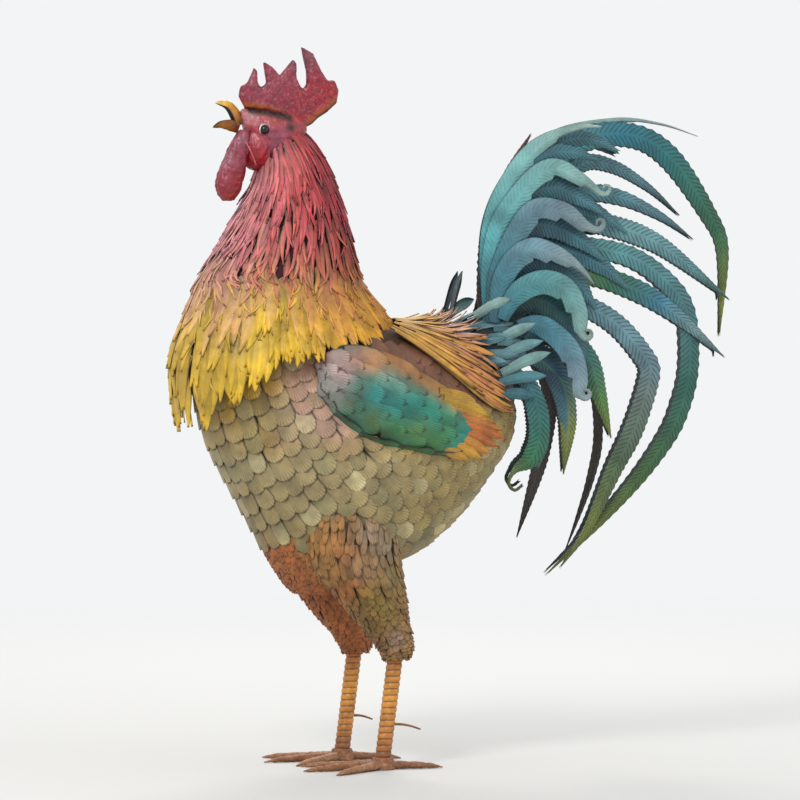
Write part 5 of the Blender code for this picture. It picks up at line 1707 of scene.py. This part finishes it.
s = np.linspace(0, 1, 4)[None, :]
for side, end, stride in LEGS:
    rows = [(x + stride, z, tilt, length, width) for x, z, tilt, length, width in THIGH_RINGS]
    skin = oval_skin(rows, 50, 64, side)
    down, turns = tuft_places(skin, np.linspace(0.02, 0.95, 24), 5.6)
    t = down[:, None] + 0.085 * s
    a = turns[:, None] + DICE.normal(0, 0.012, (len(down), 1)) * s
    heart = np.array([0.0, side, 0.0]) * np.ones((len(down), 4, 1))
    points = spot(skin, t, a)
    middles = np.array(rows)[::-1]
    heart[..., 0] = np.interp(points[..., 2], middles[:, 1], middles[:, 0])
    heart[..., 2] = points[..., 2]
    flick = np.abs(DICE.normal(0, 0.5, (len(down), 1)))
    course = on_skin(skin, t, a, 0.2 + 2.0 * s + flick * s, heart)
    half = DICE.normal(3.3, 0.4, len(down))
    tufts = lay("thigh_tufts_" + end, TUFT, course, half, thigh_tint, FINISHES["thigh"])
    stand_for(tufts, "thigh_rust", "thigh_" + end)
    core = shell_from("thigh_core_" + end, skin, hue("#5A3418"), FINISHES["thigh"], shrink=0.4)
    stand_for(core, "thigh_rust")

# %% Belly tufts
BELLY_FRONT_X = -14
skin = oval_skin(BODY_RINGS, 50, 64)
down, turns = tuft_places(skin, np.linspace(0.70, 0.96, 12), 6)
free = spot(skin, down, turns)[:, 0] < BELLY_FRONT_X
t = down[free, None] + 0.06 * s
a = turns[free, None] + 0 * s
heart = np.stack([0 * t - 20, 0 * t, spot(skin, t, a)[..., 2] + 25], -1)
course = on_skin(skin, t, a, 0.2 + 2.0 * s, heart)
half = DICE.normal(3.5, 0.4, int(free.sum()))
tufts = lay("belly_tufts", TUFT, course, half, thigh_tint, FINISHES["thigh"])
stand_for(tufts, "thigh_rust")

# %% Wound shanks
SHANK_TOP, SHANK_FOOT = np.array([11.0, 0, 94.0]), np.array([0.0, 0, 9.0])
TURNS = 16
ROD_RADIUS, WOUND_RADIUS, HALF_STRIP = 5.9, 6.1, 2.75
STRIP_PAINT = ((0, "#B86E2A"), (0.35, "#E09A3C"), (0.8, "#CC8438"), (1, "#A06434"))
WRAP = blank("wrap", 42, 6.6, 24, 4, even, crown=0.8)


def wound(top, foot, radius, stations=25):
    """Courses of a strip wound round a rod, one for each turn."""
    axis = unit(foot - top)
    first = unit(np.cross(axis, (0.0, 1.0, 0.0)))
    second = np.cross(axis, first)
    share = (np.arange(TURNS)[:, None] + np.linspace(0, 1, stations)[None, :]) / TURNS
    angle = share * TURNS * 2 * math.pi
    out = np.cos(angle)[..., None] * first + np.sin(angle)[..., None] * second
    points = top + (foot - top) * share[..., None] + out * radius
    return points, np.broadcast_to(axis, points.shape), out


for side, end, stride in LEGS:
    shift = np.array([stride, side, 0.0])
    top, foot = SHANK_TOP + shift, SHANK_FOOT + shift
    tone = ramp(STRIP_PAINT, np.linspace(0, 1, TURNS))
    tone = tone * (1 + DICE.normal(0, 0.06, (TURNS, 1)))
    course = wound(top, foot, WOUND_RADIUS)
    strip = lay("wound_strip_" + end, WRAP, course, HALF_STRIP, two(tone, tone), FINISHES["wrap"])
    stand_for(strip, "leg_ochre", "shank_" + end)
    path = np.linspace(top + (0, 0, 3), foot, 12)
    rod = tube_skin(path, np.full((12, 2), ROD_RADIUS))
    stand_for(shell_from("shank_rod_" + end, rod, hue("#7A4A1E"), FINISHES["wrap"]), "leg_ochre")

# %% Feet and spurs
# Angle from straight ahead and length of each toe.
TOES = ((-34, 72), (2, 72), (38, 72), (172, 52))
TOE_SHAPE = ((-0.05, 0.9), (0.12, 1.0), (0.55, 0.8), (0.82, 0.62), (1.0, 0.2))
HALF_HIGH, HALF_WIDE = 4.0, 5.5
# Height and radius of the rings of the lump of weld that joins the toes.
HUB_RINGS = ((10.4, 6), (10.0, 8.8), (5, 10.3), (1, 11.3), (0.2, 10.8))
RUST_PAINT = ("#94603E", "#A46C48", "#98623A", "#A87450", "#8E5C3C")
SPUR_HEIGHT, SPUR_WIRE = 38.0, 1.4


def toe_skin(centre, angle, length):
    """A forged toe, lumpy with weld beads, flat on the ground and drawn out to a claw."""
    share = np.linspace(-0.05, 1, 60)
    shape = np.array(TOE_SHAPE)
    full = np.interp(share, shape[:, 0], shape[:, 1])
    bead = 1 - 0.07 * np.abs(np.sin(share * length * 0.55)) - 0.10 * np.exp(-(((share - 0.45) / 0.03) ** 2))
    turn = math.radians(180 + angle)
    path = centre + share[:, None] * length * np.array([math.cos(turn), math.sin(turn), 0])
    path[:, 2] = HALF_HIGH * full + 0.1
    skin = tube_skin(path, np.stack([HALF_HIGH * full * bead, HALF_WIDE * full * bead], -1), 22)
    return hammered(skin, 90, 1.6, 0.5, skin.mean(axis=1, keepdims=True))


for side, end, stride in LEGS:
    centre = np.array([stride, side, 0.0])
    hub = oval_skin([(stride, z, 0, radius, radius) for z, radius in HUB_RINGS], 20, 40, side)
    skins = [hammered(hub, 60, 2.0, 0.5, hub.mean(axis=1, keepdims=True))]
    skins += [toe_skin(centre, angle, length) for angle, length in TOES]
    dressed = []
    for skin, code in zip(skins, RUST_PAINT):
        tint = np.broadcast_to(hue(code), skin.shape) * (1 + DICE.normal(0, 0.14, (*skin.shape[:2], 1)))
        speck = DICE.random(skin.shape[:2]) > 0.88
        dressed.append((skin, mixed(tint, hue("#C89A70"), speck * 0.45)))
    stand_for(shells_from("forged_foot_" + end, dressed, FINISHES["rust"]), "foot_rust", "foot_" + end)
    root_x = SHANK_TOP[0] * SPUR_HEIGHT / (SHANK_TOP[2] - SHANK_FOOT[2])
    root = np.array([root_x + stride - 1.0, side, SPUR_HEIGHT])
    reach = np.array([27, math.copysign(9, side), -4])
    share = np.linspace(0, 1, 24)[:, None]
    path = root + reach * share + np.array([0, 0, 2.0]) * np.sin(share * math.pi)
    thick = SPUR_WIRE * (1 - 0.5 * share) * np.ones((24, 2))
    wire = shell_from("spur_wire_" + end, tube_skin(path, thick, 14), hue("#8A5A2C"), FINISHES["rust"])
    stand_for(wire, "leg_ochre", "spur_" + end)

# %% [markdown]
# ## Camera, floor and light
#
# The photograph was taken from the bird's left, a little in front, almost level. The floor is
# plain and pale, and three large soft lights stand round the figure, the strongest above and
# to the left.

# %% Camera
AIM = Vector((-0.0483, 0.0, 0.313))
AWAY = 4.0
AZIMUTH, ELEVATION = math.radians(-20), math.radians(1)
METRES_PER_PIXEL = 0.00086
PICTURE = 800

lens = bpy.data.cameras.new("camera")
lens.sensor_width = 36
lens.lens = lens.sensor_width * AWAY / (PICTURE * METRES_PER_PIXEL)
lens.clip_start, lens.clip_end = 0.1, 60
camera = bpy.data.objects.new("camera", lens)
bpy.context.scene.collection.objects.link(camera)
back = Vector(
    (math.sin(AZIMUTH) * math.cos(ELEVATION), -math.cos(AZIMUTH) * math.cos(ELEVATION), math.sin(ELEVATION))
)
camera.location = AIM + back * AWAY
camera.rotation_mode = "QUATERNION"
camera.rotation_quaternion = (-back).to_track_quat("-Z", "Y")
bpy.context.scene.camera = camera

# %% Floor and light
SKY, SKY_STRENGTH = "#FBFCFD", 0.93
clear_selection()
bpy.ops.mesh.primitive_plane_add(size=60, location=(0, 0, 0))
floor = bpy.context.object
floor.name = "floor"
floor_finish, tree, floor_shader = new_finish("matt_pale_floor", 0.9)
floor_shader.inputs["Base Color"].default_value = (*hue("#CFCECB"), 1)
place = put(tree, "TexCoord", out="Object")
reach = put(tree, "VectorMath", {0: place}, out="Value", operation="LENGTH")
haze = put(tree, "MapRange", {0: reach, 1: 0.5, 2: 2.6, 3: 0.0, 4: 1.0}, interpolation_type="SMOOTHSTEP")
glow = put(tree, "Emission", {"Color": (*hue(SKY), 1), "Strength": SKY_STRENGTH})
blend = put(tree, "MixShader", {0: haze, 1: floor_shader.outputs[0], 2: glow})
tree.links.new(blend, tree.nodes["Material Output"].inputs["Surface"])
floor.data.materials.append(floor_finish)
floor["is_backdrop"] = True

world = bpy.data.worlds.new("studio")
world.use_nodes = True
world.node_tree.nodes["Background"].inputs["Color"].default_value = (*hue(SKY), 1)
world.node_tree.nodes["Background"].inputs["Strength"].default_value = SKY_STRENGTH
bpy.context.scene.world = world
bpy.context.scene.view_settings.view_transform = "Standard"


def soft_light(name, place, power, size):
    lamp = bpy.data.lights.new(name, "AREA")
    lamp.energy, lamp.size = power, size
    made = bpy.data.objects.new(name, lamp)
    bpy.context.scene.collection.objects.link(made)
    made.location = place
    made.rotation_mode = "QUATERNION"
    made.rotation_quaternion = (AIM - Vector(place)).to_track_quat("-Z", "Y")


soft_light("key", (-1.7, -1.9, 2.2), 40, 0.7)
soft_light("fill", (1.8, -1.6, 0.9), 6, 1.4)
soft_light("rim", (0.6, 1.8, 1.9), 24, 0.9)

# %% [markdown]
# ## Size of the figure
#
# The size of the finished figure is printed, to set beside the size of the measured model printed at the
# start.

# %% Size of the figure
low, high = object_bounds()
print("figure in mm:", [round((b - a) * 1000, 1) for a, b in zip(low, high)])
